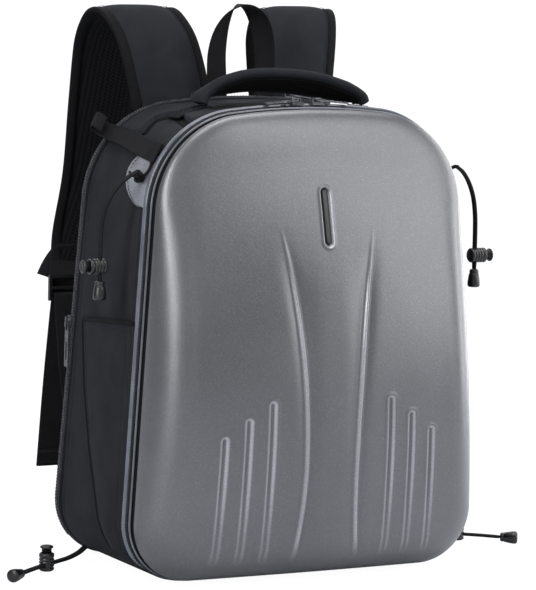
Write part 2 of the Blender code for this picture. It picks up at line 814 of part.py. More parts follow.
def bungee(name, route, side, apart, lock_spot, run, barrel_axis, meshes):
    """A doubled cord with its lock, button and bell end; run points to the bell."""
    lock, button, bell = meshes
    turn = Vector((side, 1, 1))
    middle = [Vector((side * x, depth(y), z)) for x, y, z in route]
    apart = Vector(apart) * turn
    for share, strand in ((-1, "a"), (1, "b")):
        path = [spot + apart.normalized() * share * CORD_SPACING / 2 for spot in smooth_path(middle, 3)]
        cord_strand("bungee_" + name + "_" + strand, path)
    run = (Vector(run) * turn).normalized()
    barrel = (Vector(barrel_axis) * turn).normalized()
    plastic = black_plastic()
    centre = Vector((side * lock_spot[0], depth(lock_spot[1]), lock_spot[2])) + barrel * 0.0028
    place = frame_matrix(centre, barrel, -run)
    place_copy("cord_lock_" + name, lock, plastic, place)
    place_copy("lock_button_" + name, button, plastic, place)
    end = middle[-1] + run * GAP
    place_copy("cord_bell_" + name, bell, plastic, frame_matrix(end, run, apart))


def bungees():
    meshes = (lock_mesh(), button_mesh(), bell_mesh())
    run = Vector(LOWER_RUN)
    level = (run.y, -run.x, 0)
    for side in (-1, 1):
        name = side_name(side)
        bungee("upper_" + name, UPPER_ROUTE, side, (0, 1, 0), UPPER_LOCK, (0, 0, -1), (1, 0, 0), meshes)
        bungee("lower_" + name, LOWER_ROUTE, side, level, LOWER_LOCK, LOWER_RUN, (0, 0, 1), meshes)


def main():
    clear_scene()
    lid()
    gusset()
    interior()
    side_pockets()
    reflective_patches()
    gear_loops()
    carry_handle()
    hang_loop()
    back_panel()
    shoulder_straps()
    zip_sliders()
    bungees()


main()
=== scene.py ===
"""Looks of the hard-shell drone backpack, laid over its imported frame. Metres, +Z up, the shell faces -Y."""
import math

import bmesh
import bpy
import numpy as np
from mathutils import Matrix, Vector, noise


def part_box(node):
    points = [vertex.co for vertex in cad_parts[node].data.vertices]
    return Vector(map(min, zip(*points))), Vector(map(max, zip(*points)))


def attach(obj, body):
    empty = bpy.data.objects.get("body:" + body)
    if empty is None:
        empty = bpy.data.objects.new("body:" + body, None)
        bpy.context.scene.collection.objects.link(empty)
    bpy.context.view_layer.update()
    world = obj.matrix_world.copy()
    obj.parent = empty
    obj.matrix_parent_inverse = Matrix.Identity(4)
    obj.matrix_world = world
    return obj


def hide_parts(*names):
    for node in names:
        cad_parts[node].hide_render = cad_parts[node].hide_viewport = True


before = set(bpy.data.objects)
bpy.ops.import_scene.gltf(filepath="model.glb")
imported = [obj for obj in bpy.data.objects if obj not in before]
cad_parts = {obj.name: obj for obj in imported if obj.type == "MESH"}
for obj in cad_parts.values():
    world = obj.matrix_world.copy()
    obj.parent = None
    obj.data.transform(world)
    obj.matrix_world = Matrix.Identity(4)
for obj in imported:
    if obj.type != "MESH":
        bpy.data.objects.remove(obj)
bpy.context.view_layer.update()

# ---- Camera ----

TARGET = Vector((0.0, -0.025, 0.240))
CAMERA_AZIMUTH = math.radians(-27.2)
CAMERA_ELEVATION = math.radians(6.8)
CAMERA_ROLL = math.radians(1.2)
CAMERA_DISTANCE = 3.232
FIELD_AT_TARGET = 0.536  # metres across the picture at the target
SHIFT_X, SHIFT_Y = -0.010, 0.055


def camera():
    data = bpy.data.cameras.new("camera")
    data.sensor_fit = "HORIZONTAL"
    data.sensor_width = 36.0
    data.lens = data.sensor_width * CAMERA_DISTANCE / FIELD_AT_TARGET
    data.shift_x, data.shift_y = SHIFT_X, SHIFT_Y
    data.clip_end = 50
    back = Vector((
        math.sin(CAMERA_AZIMUTH) * math.cos(CAMERA_ELEVATION),
        -math.cos(CAMERA_AZIMUTH) * math.cos(CAMERA_ELEVATION),
        math.sin(CAMERA_ELEVATION),
    ))
    obj = bpy.data.objects.new("camera", data)
    turn = back.to_track_quat("Z", "Y").to_matrix().to_4x4()
    spot = Matrix.Translation(TARGET + back * CAMERA_DISTANCE)
    obj.matrix_world = spot @ turn @ Matrix.Rotation(CAMERA_ROLL, 4, "Z")
    bpy.context.collection.objects.link(obj)
    bpy.context.scene.camera = obj


camera()

# ---- Measures taken from the frame ----

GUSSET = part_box("gusset")
FRONT_SEAM = float(GUSSET[0][1]) - 0.003
REAR_SEAM = float(GUSSET[1][1]) + 0.003
BASE_Z = float(GUSSET[0][2])
TOP_Z = float(GUSSET[1][2])
BOTTOM_RADIUS, TOP_RADIUS = 0.060, 0.098
BOTTOM_CORNER = (0.127, BASE_Z + BOTTOM_RADIUS)
TOP_CORNER = (0.0715, BASE_Z + 0.360)
CROWN_ANGLE = math.radians(83.5)
TRIM_FRONT = float(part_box("shell_edge_trim")[0][1])
SHELL_BACK = float(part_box("front_shell")[1][1])
SHELL_INSET, ROLL_OVER = 0.003, 0.042
BACK_LEAN = 0.055  # how far the back comes forward, per metre of height


def leaned(y, z):
    """A plane's y at this height, once the back has been leaned forward."""
    share = np.clip((y - FRONT_SEAM) / (REAR_SEAM - FRONT_SEAM), 0, 1)
    return y - BACK_LEAN * z * share


def read_spots(mesh):
    """A mesh's vertices as rows of x, y, z."""
    spots = np.empty(len(mesh.vertices) * 3)
    mesh.vertices.foreach_get("co", spots)
    return spots.reshape(-1, 3)


def bake(obj):
    """Turns an object's modifiers into plain mesh."""
    graph = bpy.context.evaluated_depsgraph_get()
    obj.data = bpy.data.meshes.new_from_object(obj.evaluated_get(graph))
    obj.modifiers.clear()


def lean_back(obj):
    """Leans a piece built upright on the back, which is wholly behind the rear seam."""
    spots = read_spots(obj.data)
    spots[:, 1] -= BACK_LEAN * spots[:, 2]
    obj.data.vertices.foreach_set("co", spots.ravel())
    obj.data.update()
    return obj


def side_name(side):
    return "left" if side < 0 else "right"


def side_angle():
    run = BOTTOM_CORNER[0] - TOP_CORNER[0]
    rise = TOP_CORNER[1] - BOTTOM_CORNER[1]
    return math.acos((TOP_RADIUS - BOTTOM_RADIUS) / math.hypot(run, rise)) - math.atan2(rise, run)


def outline_points(inset, per_metre=700, sides=None):
    """The case's outline as an array of x, z, and each point's outward normal, anticlockwise.

    sides gives point counts for bottom, right, top and left, split at the middle of the corners.
    """
    tilt = side_angle()
    radius = TOP_RADIUS + TOP_CORNER[0] / math.cos(CROWN_ANGLE)
    crown_z = TOP_CORNER[1] - (radius - TOP_RADIUS) * math.sin(CROWN_ANGLE)

    def arc(cx, cz, r, a, b, n):
        t = np.linspace(a, b, n)
        return np.stack([cx + (r - inset) * np.cos(t), cz + (r - inset) * np.sin(t), np.cos(t), np.sin(t)], 1)

    def line(p, q, n):
        t = np.linspace(0, 1, n)[:, None]
        return p + (q - p) * t

    low = arc(*BOTTOM_CORNER, BOTTOM_RADIUS, -math.pi / 2, tilt, 60)
    high = arc(*TOP_CORNER, TOP_RADIUS, tilt, CROWN_ANGLE, 90)
    top = arc(0, crown_z, radius, CROWN_ANGLE, math.pi / 2, 60)
    start = np.array([0, low[0][1], 0, -1.0])
    right = np.concatenate([line(start, low[0], 60), low[1:], line(low[-1], high[0], 90)[1:], high[1:],
        top[1:]])
    left = right[::-1][1:-1] * np.array([-1, 1, -1, 1])
    ring = np.concatenate([right, left, right[:1]])
    run = np.concatenate([[0], np.cumsum(np.hypot(*(ring[1:, :2] - ring[:-1, :2]).T))])
    if sides is None:
        at = np.linspace(0, run[-1], max(int(run[-1] * per_metre), 32) + 1)[:-1]
    else:
        low_mid = run[59 + 30]
        high_mid = run[59 + 59 + 89 + 45]
        total = run[-1]
        marks = (-low_mid, low_mid, high_mid, total - high_mid, total - low_mid)
        at = np.concatenate([np.linspace(a, b, n + 1)[:-1]
            for a, b, n in zip(marks, marks[1:], sides)]) % total
    return np.stack([np.interp(at, run, ring[:, k]) for k in range(4)], 1), at


# ---- Node materials ----


def shader_material(name):
    mat = bpy.data.materials.new(name)
    mat.use_nodes = True
    tree = mat.node_tree
    return mat, tree, tree.nodes["Principled BSDF"]


def node(tree, kind, **values):
    made = tree.nodes.new(kind)
    for key, value in values.items():
        if key.startswith("in_"):
            socket = key[3:].replace("_", " ")
            made.inputs[socket].default_value = value
        else:
            setattr(made, key, value)
    return made


def settle(made, **values):
    """Gives a node's inputs their values; a low line in a name stands for a space."""
    for key, value in values.items():
        made.inputs[key.replace("_", " ")].default_value = value


def join(tree, start, end):
    tree.links.new(start, end)


def math_node(tree, operation, a, b=None):
    made = node(tree, "ShaderNodeMath", operation=operation)
    for socket, value in zip(made.inputs, (a, b)):
        if value is None:
            continue
        if isinstance(value, (int, float)):
            socket.default_value = value
        else:
            join(tree, value, socket)
    return made.outputs[0]


def mix_shaders(tree, share, first, second):
    """Share is how much of the second shows."""
    mix = node(tree, "ShaderNodeMixShader")
    join(tree, share, mix.inputs[0])
    join(tree, first.outputs[0], mix.inputs[1])
    join(tree, second.outputs[0], mix.inputs[2])
    return mix


def plus(tree, a, b):
    return math_node(tree, "ADD", a, b)


def times(tree, a, b):
    return math_node(tree, "MULTIPLY", a, b)


def colour_ramp(tree, factor, stops):
    ramp = node(tree, "ShaderNodeValToRGB")
    while len(ramp.color_ramp.elements) < len(stops):
        ramp.color_ramp.elements.new(0.5)
    for element, (place, colour) in zip(ramp.color_ramp.elements, stops):
        element.position = place
        element.color = (*colour, 1)
    join(tree, factor, ramp.inputs[0])
    return ramp.outputs[0]


def noise_at(tree, scale, detail=2.0, roughness=0.5):
    place = node(tree, "ShaderNodeTexCoord")
    made = node(tree, "ShaderNodeTexNoise", in_Scale=scale, in_Detail=detail, in_Roughness=roughness)
    join(tree, place.outputs["Object"], made.inputs["Vector"])
    return made.outputs[0]


def bump(tree, shader, height, distance, strength=1.0, after=None):
    made = node(tree, "ShaderNodeBump", in_Strength=strength, in_Distance=distance)
    join(tree, height, made.inputs["Height"])
    if after is not None:
        join(tree, after, made.inputs["Normal"])
    join(tree, made.outputs[0], shader.inputs["Normal"])
    return made.outputs[0]


def cloth_uv(tree):
    uv = node(tree, "ShaderNodeUVMap", uv_map="metres")
    split = node(tree, "ShaderNodeSeparateXYZ")
    join(tree, uv.outputs[0], split.inputs[0])
    return split.outputs[0], split.outputs[1]


def wave_of(tree, coordinate, pitch):
    return math_node(tree, "SINE", times(tree, coordinate, 2 * math.pi / pitch))


def woven(name, dark, light, pitch=0.0011, rough=0.78, sheen=0.008, depth=0.00012):
    """Plain-woven cloth: crossing threads in the surface's own metres, mottled with soft wear."""
    mat, tree, shader = shader_material(name)
    u, v = cloth_uv(tree)
    weave = times(tree, wave_of(tree, u, pitch), wave_of(tree, v, pitch))
    height = plus(tree, times(tree, weave, 0.5), 0.5)
    mottle = noise_at(tree, 38, 4, 0.6)
    tone = plus(tree, times(tree, height, 0.45), times(tree, mottle, 0.55))
    join(tree, colour_ramp(tree, tone, ((0.25, dark), (0.75, light))), shader.inputs["Base Color"])
    settle(shader, Roughness=rough, Specular_IOR_Level=0.07, Sheen_Weight=sheen, Sheen_Roughness=0.45)
    wrinkle = bump(tree, shader, noise_at(tree, 60, 3, 0.6), 0.0016, 0.35)
    bump(tree, shader, height, depth, 0.7, wrinkle)
    return mat


def ribbed(name, dark, light, rib=0.0016, rough=0.72):
    """Webbing: fine herringbone ribs across the band."""
    mat, tree, shader = shader_material(name)
    u, v = cloth_uv(tree)
    ribs = wave_of(tree, plus(tree, u, math_node(tree, "PINGPONG", v, 0.004)), rib)
    height = plus(tree, times(tree, ribs, 0.5), 0.5)
    tone = plus(tree, times(tree, height, 0.6), times(tree, noise_at(tree, 90, 3), 0.4))
    join(tree, colour_ramp(tree, tone, ((0.2, dark), (0.8, light))), shader.inputs["Base Color"])
    settle(shader, Roughness=rough, Specular_IOR_Level=0.09)
    bump(tree, shader, height, 0.0002, 0.8)
    return mat


def spacer_mesh(name, dark, light, cell=0.0034):
    """Air mesh: a lattice of small round holes over a darker backing."""
    mat, tree, shader = shader_material(name)
    u, v = cloth_uv(tree)
    slant = plus(tree, v, times(tree, u, 0.45))
    row = wave_of(tree, u, cell * 1.6)
    column = wave_of(tree, slant, cell)
    diagonal = wave_of(tree, plus(tree, u, v), cell)
    holes = plus(tree, plus(tree, row, column), times(tree, diagonal, 0.5))
    height = math_node(tree, "SMOOTH_MIN", plus(tree, times(tree, holes, 0.25), 0.55), 0.9)
    join(tree, colour_ramp(tree, height, ((0.25, dark), (0.6, light))), shader.inputs["Base Color"])
    settle(shader, Roughness=0.95, Specular_IOR_Level=0.1, Sheen_Weight=0.01)
    bump(tree, shader, height, 0.0006, 0.9)
    return mat


def shell_finish():
    """Satin polycarbonate: fine orange peel, tiny bright flecks, and the colour scaled by a per-point
    attribute that paints highlights and shade over the moulding.
    """
    mat, tree, shader = shader_material("shell_satin")
    slow = noise_at(tree, 9, 3)
    fleck = noise_at(tree, 1500, 1, 0.4)
    sparkle = colour_ramp(tree, fleck, ((0.56, (0, 0, 0)), (0.74, (1, 1, 1))))
    tone = plus(tree, times(tree, slow, 0.35), times(tree, sparkle, 0.55))
    colours = ((0.05, (0.090, 0.092, 0.099)), (0.95, (0.215, 0.219, 0.231)))
    # Painted light: the attribute scales the colour up on groove flanks, ridge crests and the slot rim
    # (painted highlight) and down in groove bottoms and beside the ridges (painted shade); the scale node
    # below multiplies the colour by it.
    painted_light = node(tree, "ShaderNodeAttribute", attribute_name="painted_light")
    lift = plus(tree, times(tree, painted_light.outputs["Fac"], 2.6), 0.09)
    film = node(tree, "ShaderNodeVectorMath", operation="SCALE")
    join(tree, colour_ramp(tree, tone, colours), film.inputs[0])
    join(tree, lift, film.inputs["Scale"])
    join(tree, film.outputs[0], shader.inputs["Base Color"])
    settle(shader, Metallic=0.55)
    gloss = plus(tree, times(tree, slow, 0.08), 0.30)
    join(tree, gloss, shader.inputs["Roughness"])
    settle(shader, Coat_Weight=0.15, Coat_Roughness=0.3)
    peel = bump(tree, shader, noise_at(tree, 420, 2, 0.5), 0.0004, 0.22)
    bump(tree, shader, fleck, 0.00022, 0.5, peel)
    return mat


def plastic(name, colour, rough=0.4, grain=900):
    mat, tree, shader = shader_material(name)
    fine = noise_at(tree, grain, 2)
    broad = noise_at(tree, 40, 3)
    lighter = tuple(c * 1.7 + 0.004 for c in colour)
    join(tree, colour_ramp(tree, broad, ((0.3, colour), (0.75, lighter))), shader.inputs["Base Color"])
    join(tree, plus(tree, times(tree, broad, 0.16), rough - 0.08), shader.inputs["Roughness"])
    bump(tree, shader, fine, 0.0001, 0.3)
    return mat


def zip_metal():
    mat, tree, shader = shader_material("gunmetal")
    worn = noise_at(tree, 260, 3, 0.7)
    join(tree, colour_ramp(tree, worn, ((0.35, (0.07, 0.072, 0.078)), (0.7, (0.20, 0.205, 0.215)))),
        shader.inputs["Base Color"])
    settle(shader, Metallic=0.85)
    join(tree, plus(tree, times(tree, worn, 0.25), 0.22), shader.inputs["Roughness"])
    bump(tree, shader, worn, 0.00008, 0.3)
    return mat


def braided(name, dark, light):
    """Elastic cord cover: two families of crossing helical threads."""
    mat, tree, shader = shader_material(name)
    u, v = cloth_uv(tree)
    one = wave_of(tree, plus(tree, u, v), 0.0016)
    two = wave_of(tree, math_node(tree, "SUBTRACT", u, v), 0.0016)
    height = math_node(tree, "MAXIMUM", one, two)
    join(tree, colour_ramp(tree, height, ((0.2, dark), (0.9, light))), shader.inputs["Base Color"])
    settle(shader, Roughness=0.6, Specular_IOR_Level=0.12)
    bump(tree, shader, height, 0.0002, 0.8)
    return mat


def zip_teeth():
    """Moulded zip coil: pale rounded teeth with dark gaps between them."""
    mat, tree, shader = shader_material("zip_teeth")
    u, v = cloth_uv(tree)
    height = plus(tree, times(tree, wave_of(tree, u, COIL_PITCH), 0.5), 0.5)
    worn = times(tree, noise_at(tree, 300, 2), 0.3)
    tone = plus(tree, height, worn)
    join(tree, colour_ramp(tree, tone, ((0.50, (0.0014, 0.0014, 0.0018)),
        (0.95, (0.075, 0.077, 0.086)))), shader.inputs["Base Color"])
    settle(shader, Roughness=0.5, Specular_IOR_Level=0.15)
    bump(tree, shader, height, 0.0005, 0.8)
    return mat


def reflective_finish():
    """Retro-reflective film: pale grey with a faint honeycomb emboss and scuffs."""
    mat, tree, shader = shader_material("reflective_film")
    place = node(tree, "ShaderNodeTexCoord")
    cells = node(tree, "ShaderNodeTexVoronoi", feature="DISTANCE_TO_EDGE", in_Scale=420)
    join(tree, place.outputs["Object"], cells.inputs["Vector"])
    line = colour_ramp(tree, cells.outputs[0], ((0.02, (0.16, 0.166, 0.185)), (0.10, (0.26, 0.267, 0.292))))
    scuff = colour_ramp(tree, noise_at(tree, 55, 5, 0.7), ((0.35, (0.62, 0.62, 0.64)), (0.6, (1, 1, 1))))
    mixed = node(tree, "ShaderNodeMix", data_type="RGBA", blend_type="MULTIPLY")
    mixed.inputs[0].default_value = 0.8
    join(tree, line, mixed.inputs[6])
    join(tree, scuff, mixed.inputs[7])
    join(tree, mixed.outputs[2], shader.inputs["Base Color"])
    settle(shader, Roughness=0.32, Metallic=0.3)
    bump(tree, shader, cells.outputs[0], 0.0002, 0.3)
    return mat


BODY_CLOTH = woven("pack_cloth", (0.0085, 0.0091, 0.0108), (0.0205, 0.0216, 0.0255))
LINING = woven("lining_cloth", (0.03, 0.03, 0.034), (0.07, 0.07, 0.076), 0.0014)
BINDING = ribbed("edge_binding", (0.0022, 0.0022, 0.0026), (0.0085, 0.0085, 0.0098), 0.0011)
WEBBING = ribbed("webbing", (0.0026, 0.0026, 0.0030), (0.0100, 0.0100, 0.0114))
AIR_MESH = spacer_mesh("air_mesh", (0.0004, 0.0004, 0.0005), (0.0066, 0.0068, 0.0080))
SHELL = shell_finish()
TRIM = plastic("trim_piping", (0.070, 0.077, 0.092), 0.20, 300)
BLACK = plastic("black_moulding", (0.0045, 0.0045, 0.0050), 0.34)
FOAM = plastic("closed_cell_foam", (0.045, 0.045, 0.050), 0.9, 700)
METAL = zip_metal()
ELASTIC = braided("elastic_braid", (0.0030, 0.0030, 0.0035), (0.0150, 0.0150, 0.0170))
FILM = reflective_finish()
# Painted shade: near-black cloth for the sheet under the shoulder flaps' lips, where the lip's shadow falls.
PAINTED_SHADE = woven("painted_recess_shade", (0.0005, 0.0005, 0.0006), (0.0020, 0.0020, 0.0024))
COIL_PITCH = 0.0032
COIL = zip_teeth()
THREAD = ribbed("thread", (0.014, 0.014, 0.016), (0.042, 0.042, 0.046), 0.0006)


# ---- Mesh helpers ----


def finish_piece(obj, body, replaced=()):
    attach(obj, body)
    if replaced:
        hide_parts(*replaced)
    return obj


def link_mesh(name, verts, faces, mat, uvs):
    mesh = bpy.data.meshes.new(name)
    mesh.from_pydata([tuple(v) for v in verts], [], [tuple(f) for f in faces])
    layer = mesh.uv_layers.new(name="metres")
    index = np.empty(len(mesh.loops), np.int32)
    mesh.loops.foreach_get("vertex_index", index)
    layer.data.foreach_set("uv", np.asarray(uvs, np.float32)[index].ravel())
    mesh.materials.append(mat)
    mesh.shade_smooth()
    obj = bpy.data.objects.new(name, mesh)
    bpy.context.collection.objects.link(obj)
    return obj


def agree_faces(mesh, toward=0):
    """Turns a mesh's faces the same way; toward is the side in y they must then look to."""
    bm = bmesh.new()
    bm.from_mesh(mesh)
    bmesh.ops.recalc_face_normals(bm, faces=bm.faces)
    if toward and sum(f.normal.y * f.calc_area() for f in bm.faces) * toward < 0:
        bmesh.ops.reverse_faces(bm, faces=bm.faces)
    bm.to_mesh(mesh)
    bm.free()


def grid_faces(rows, columns, wrap_rows=False, wrap_columns=False):
    r = np.arange(rows if wrap_rows else rows - 1)
    c = np.arange(columns if wrap_columns else columns - 1)
    r, c = np.meshgrid(r, c, indexing="ij")
    rn, cn = (r + 1) % rows, (c + 1) % columns
    return np.stack([r * columns + c, r * columns + cn, rn * columns + cn, rn * columns + c],
        -1).reshape(-1, 4)


def skin(name, grid, mat, wrap_rows=False, wrap_columns=False, cap_rows=False):
    """A surface through a rows by columns grid of points, with metric UVs."""
    grid = np.asarray(grid, float)
    rows, columns = grid.shape[:2]
    faces = grid_faces(rows, columns, wrap_rows, wrap_columns).tolist()
    if cap_rows:
        faces.append(list(range(columns))[::-1])
        faces.append(list(range((rows - 1) * columns, rows * columns)))
    down = np.concatenate([np.zeros((1, columns)),
        np.cumsum(np.linalg.norm(np.diff(grid, axis=0), axis=2), 0)])
    over = np.concatenate([np.zeros((rows, 1)),
        np.cumsum(np.linalg.norm(np.diff(grid, axis=1), axis=2), 1)], 1)
    uvs = np.stack([over, down], -1).reshape(-1, 2)
    obj = link_mesh(name, grid.reshape(-1, 3), faces, mat, uvs)
    agree_faces(obj.data)
    return obj


def join_pieces(name, parts):
    """One object from several, keeping their materials and UVs."""
    with bpy.context.temp_override(active_object=parts[0], selected_editable_objects=parts, object=parts[0]):
        bpy.ops.object.join()
    parts[0].name = name
    return parts[0]


def smooth_path(points, steps=8):
    """A Catmull-Rom curve through given points."""
    points = [Vector(p) for p in points]
    ends = [2 * points[0] - points[1]] + points + [2 * points[-1] - points[-2]]
    made = []
    for a, b, c, d in zip(ends, ends[1:], ends[2:], ends[3:]):
        for k in range(steps):
            t = k / steps
            made.append(0.5 * (2 * b + (c - a) * t + (2 * a - 5 * b + 4 * c - d) * t**2
                + (3 * b - 3 * c + d - a) * t**3))
    return made + [points[-1]]


def tube(name, path, radius, mat, sides=12):
    """A round cord along a path, with rounded ends."""
    path = [Vector(p) for p in path]
    rows = []
    normal = None
    for i, point in enumerate(path):
        ahead = (path[min(i + 1, len(path) - 1)] - path[max(i - 1, 0)]).normalized()
        if normal is None:
            normal = ahead.orthogonal().normalized()
        normal = (normal - ahead * normal.dot(ahead)).normalized()
        side = ahead.cross(normal)
        scale = 1.0 if 0 < i < len(path) - 1 else 0.82
        turns = (2 * math.pi * k / sides for k in range(sides))
        rows.append([point + (normal * math.cos(t) + side * math.sin(t)) * radius * scale for t in turns])
    return skin(name, rows, mat, wrap_columns=True, cap_rows=True)


def lathe(name, profile, mat, matrix, sides=40):
    """A turned piece about the matrix's local X, from (x, radius) pairs."""
    rows = []
    for x, radius in profile:
        turns = (2 * math.pi * k / sides for k in range(sides))
        rows.append([matrix @ Vector((x, radius * math.cos(t), radius * math.sin(t))) for t in turns])
    return skin(name, rows, mat, wrap_columns=True, cap_rows=True)


def frames_along(path, across):
    """Each point of a strap's path, its width direction and its upward direction."""
    last = len(path) - 1
    for i, point in enumerate(path):
        ahead = path[min(i + 1, last)] - path[max(i - 1, 0)]
        wide = Vector(across[i]).normalized()
        yield point, wide, ahead.cross(wide).normalized()


def strap_section(width, thickness):
    """A flat section with rounded edges, as (across, through) pairs."""
    edge = thickness / 2
    half = width / 2 - edge
    points = []
    for k in range(9):
        turn = -math.pi / 2 + math.pi * k / 8
        points.append((half + edge * math.cos(turn), thickness / 2 * math.sin(turn)))
    inner = [(half * (1 - 2 * k / 10), thickness / 2) for k in range(1, 10)]
    left = [(-x, y) for x, y in points[::-1]]
    bottom = [(-half * (1 - 2 * k / 10), -thickness / 2) for k in range(1, 10)]
    return points + inner + left + bottom


def swept_strap(name, path, across, widths, thickness, mat):
    """A strap along a path; across gives its width direction at each point."""
    if not isinstance(thickness, (list, tuple)):
        thickness = [thickness] * len(path)
    rows = []
    for (point, wide, up), width, thick in zip(frames_along(path, across), widths, thickness):
        rows.append([point + wide * a + up * b for a, b in strap_section(width, thick)])
    return skin(name, rows, mat, wrap_columns=True, cap_rows=True)


STITCH_LENGTH, STITCH_GAP, THREAD_RADIUS = 0.0026, 0.0014, 0.00032


def stitch_row(name, path, normals, mat=None):
    """A run of separate thread stitches lying on a surface along a path."""
    path = [Vector(p) for p in path]
    run = [0.0]
    for a, b in zip(path, path[1:]):
        run.append(run[-1] + (b - a).length)
    arr = np.array([tuple(p) for p in path])
    nrm = np.array([tuple(n) for n in normals])

    def at(s):
        return [Vector([np.interp(s, run, table[:, k]) for k in range(3)]) for table in (arr, nrm)]

    verts, faces, uvs = [], [], []
    start = STITCH_GAP
    while start + STITCH_LENGTH < run[-1]:
        first = len(verts)
        for share, swell, lift in ((0.0, 0.55, -0.3), (0.25, 1.0, 0.5), (0.75, 1.0, 0.5), (1.0, 0.55, -0.3)):
            spot, normal = at(start + STITCH_LENGTH * share)
            ahead = (at(start + STITCH_LENGTH)[0] - at(start)[0]).normalized()
            side = ahead.cross(normal).normalized()
            for k in range(6):
                turn = math.pi * k / 3
                offset = (normal * math.sin(turn) + side * math.cos(turn)) * THREAD_RADIUS * swell
                verts.append(spot + normal * THREAD_RADIUS * lift + offset)
                uvs.append((start + STITCH_LENGTH * share, k * THREAD_RADIUS))
        for row in range(3):
            for k in range(6):
                a, b = first + row * 6 + k, first + row * 6 + (k + 1) % 6
                faces.append((a, b, b + 6, a + 6))
        faces.append(tuple(first + k for k in range(5, -1, -1)))
        faces.append(tuple(first + 18 + k for k in range(6)))
        start += STITCH_LENGTH + STITCH_GAP
    return link_mesh(name, verts, faces, mat or THREAD, uvs)


# ---- Floor and light ----


FLOOR_REACH, BACKDROP_TOP = 4.0, 3.0
CURVE_START, CURVE_RADIUS, CURVE_STEPS = 1.6, 1.0, 24
FLOOR_Z = BASE_Z - 0.0005
GLOW_SHARE = 0.80


def floor():
    """A pale sweep that a camera behind it sees through."""
    mat, tree, shader = shader_material("pale_floor")
    tone = noise_at(tree, 3, 2)
    join(tree, colour_ramp(tree, tone, ((0.3, (0.60, 0.62, 0.66)), (0.7, (0.64, 0.66, 0.70)))),
        shader.inputs["Base Color"])
    settle(shader, Roughness=0.9)
    glow = node(tree, "ShaderNodeEmission")
    settle(glow, Color=(1.0, 1.0, 1.0, 1), Strength=1.2)
    seen = node(tree, "ShaderNodeLightPath").outputs["Is Camera Ray"]
    lit = mix_shaders(tree, times(tree, seen, GLOW_SHARE), shader, glow)
    behind = node(tree, "ShaderNodeNewGeometry").outputs["Backfacing"]
    clear = node(tree, "ShaderNodeBsdfTransparent")
    one_sided = mix_shaders(tree, times(tree, seen, behind), lit, clear)
    join(tree, one_sided.outputs[0], tree.nodes["Material Output"].inputs["Surface"])
    rows = []
    for x in (-FLOOR_REACH, FLOOR_REACH):
        row = [(x, -FLOOR_REACH, FLOOR_Z)]
        for k in range(CURVE_STEPS + 1):
            turn = math.pi / 2 * k / CURVE_STEPS
            across, rise = math.sin(turn) * CURVE_RADIUS, (1 - math.cos(turn)) * CURVE_RADIUS
            row.append((x, CURVE_START + across, FLOOR_Z + rise))
        row.append((x, CURVE_START + CURVE_RADIUS, BACKDROP_TOP))
        rows.append(row)
    obj = skin("studio_floor", rows, mat)
    if obj.data.polygons[0].normal.z < 0:
        obj.data.flip_normals()


def area_light(name, spot, aim, size, power):
    data = bpy.data.lights.new(name, "AREA")
    data.shape = "RECTANGLE"
    data.size, data.size_y = size
    data.energy = power
    obj = bpy.data.objects.new(name, data)
    back = (Vector(spot) - Vector(aim)).normalized()
    obj.matrix_world = Matrix.Translation(spot) @ back.to_track_quat("Z", "Y").to_matrix().to_4x4()
    bpy.context.collection.objects.link(obj)


def studio():
    world = bpy.data.worlds.new("studio")
    world.use_nodes = True
    tree = world.node_tree
    light = tree.nodes["Background"]
    settle(light, Color=(0.93, 0.95, 1.0, 1), Strength=0.22)
    seen = node(tree, "ShaderNodeBackground")
    settle(seen, Color=(1, 1, 1, 1), Strength=1.0)
    path = node(tree, "ShaderNodeLightPath")
    mix = mix_shaders(tree, path.outputs["Is Camera Ray"], light, seen)
    join(tree, mix.outputs[0], tree.nodes["World Output"].inputs["Surface"])
    bpy.context.scene.world = world
    middle = (0, 0, 0.25)
    area_light("left_strip", (-1.75, -0.85, 1.05), middle, (0.50, 1.5), 30)
    area_light("right_strip", (1.8, -0.10, 0.55), middle, (0.4, 1.7), 16)
    area_light("right_front", (2.1, -1.9, 0.9), middle, (1.5, 1.3), 26)
    area_light("right_rear_strip", (1.6, 0.75, 0.45), middle, (0.5, 1.8), 14)
    area_light("overhead", (0.1, -0.35, 2.1), middle, (2.0, 0.9), 32)
    area_light("upper_front", (1.0, -1.9, 1.7), middle, (1.3, 0.8), 16)
    area_light("front_fill", (-0.9, -3.2, 1.0), middle, (1.6, 1.4), 6)
    area_light("back_light", (0.2, 1.5, 1.7), (0, 0.1, 0.3), (2.4, 1.0), 16)
    bpy.context.scene.view_settings.view_transform = "Standard"


floor()
studio()

# ---- Elastic cords ----

CORD_DIAMETER = 0.003
CORD_SPACING = 0.0037
LOCK_LENGTH, LOCK_RADIUS = 0.018, 0.0075
BELL_LENGTH = 0.018
UPPER_ROUTE = (
    (0.1755, 0.0080, 0.4000),
    (0.1850, 0.0105, 0.3940),
    (0.1950, 0.0150, 0.3830),
    (0.2030, 0.0190, 0.3680),
    (0.2070, 0.0210, 0.3500),
    (0.2080, 0.0215, 0.3300),
    (0.2080, 0.0215, 0.2940),
)
LOWER_ROUTE = (
    (0.1750, 0.1200, 0.0160),
    (0.1830, 0.1170, 0.0115),
    (0.1930, 0.1115, 0.0090),
    (0.2030, 0.1045, 0.0082),
    (0.2130, 0.0975, 0.0082),
    (0.2330, 0.0835, 0.0082),
    (0.2530, 0.0695, 0.0078),
    (0.2700, 0.0576, 0.0070),
)
UPPER_LOCK = (0.2080, 0.0215, 0.3080)
LOWER_LOCK = (0.2330, 0.0835, 0.0082)
LOWER_RUN = (0.0200, -0.0140, 0.0)


def frame_matrix(point, along, up):
    x = Vector(along).normalized()
    z = Vector(up)
    z = (z - x * z.dot(x)).normalized()
    return Matrix.Translation(point) @ Matrix((x, z.cross(x), z)).transposed().to_4x4()


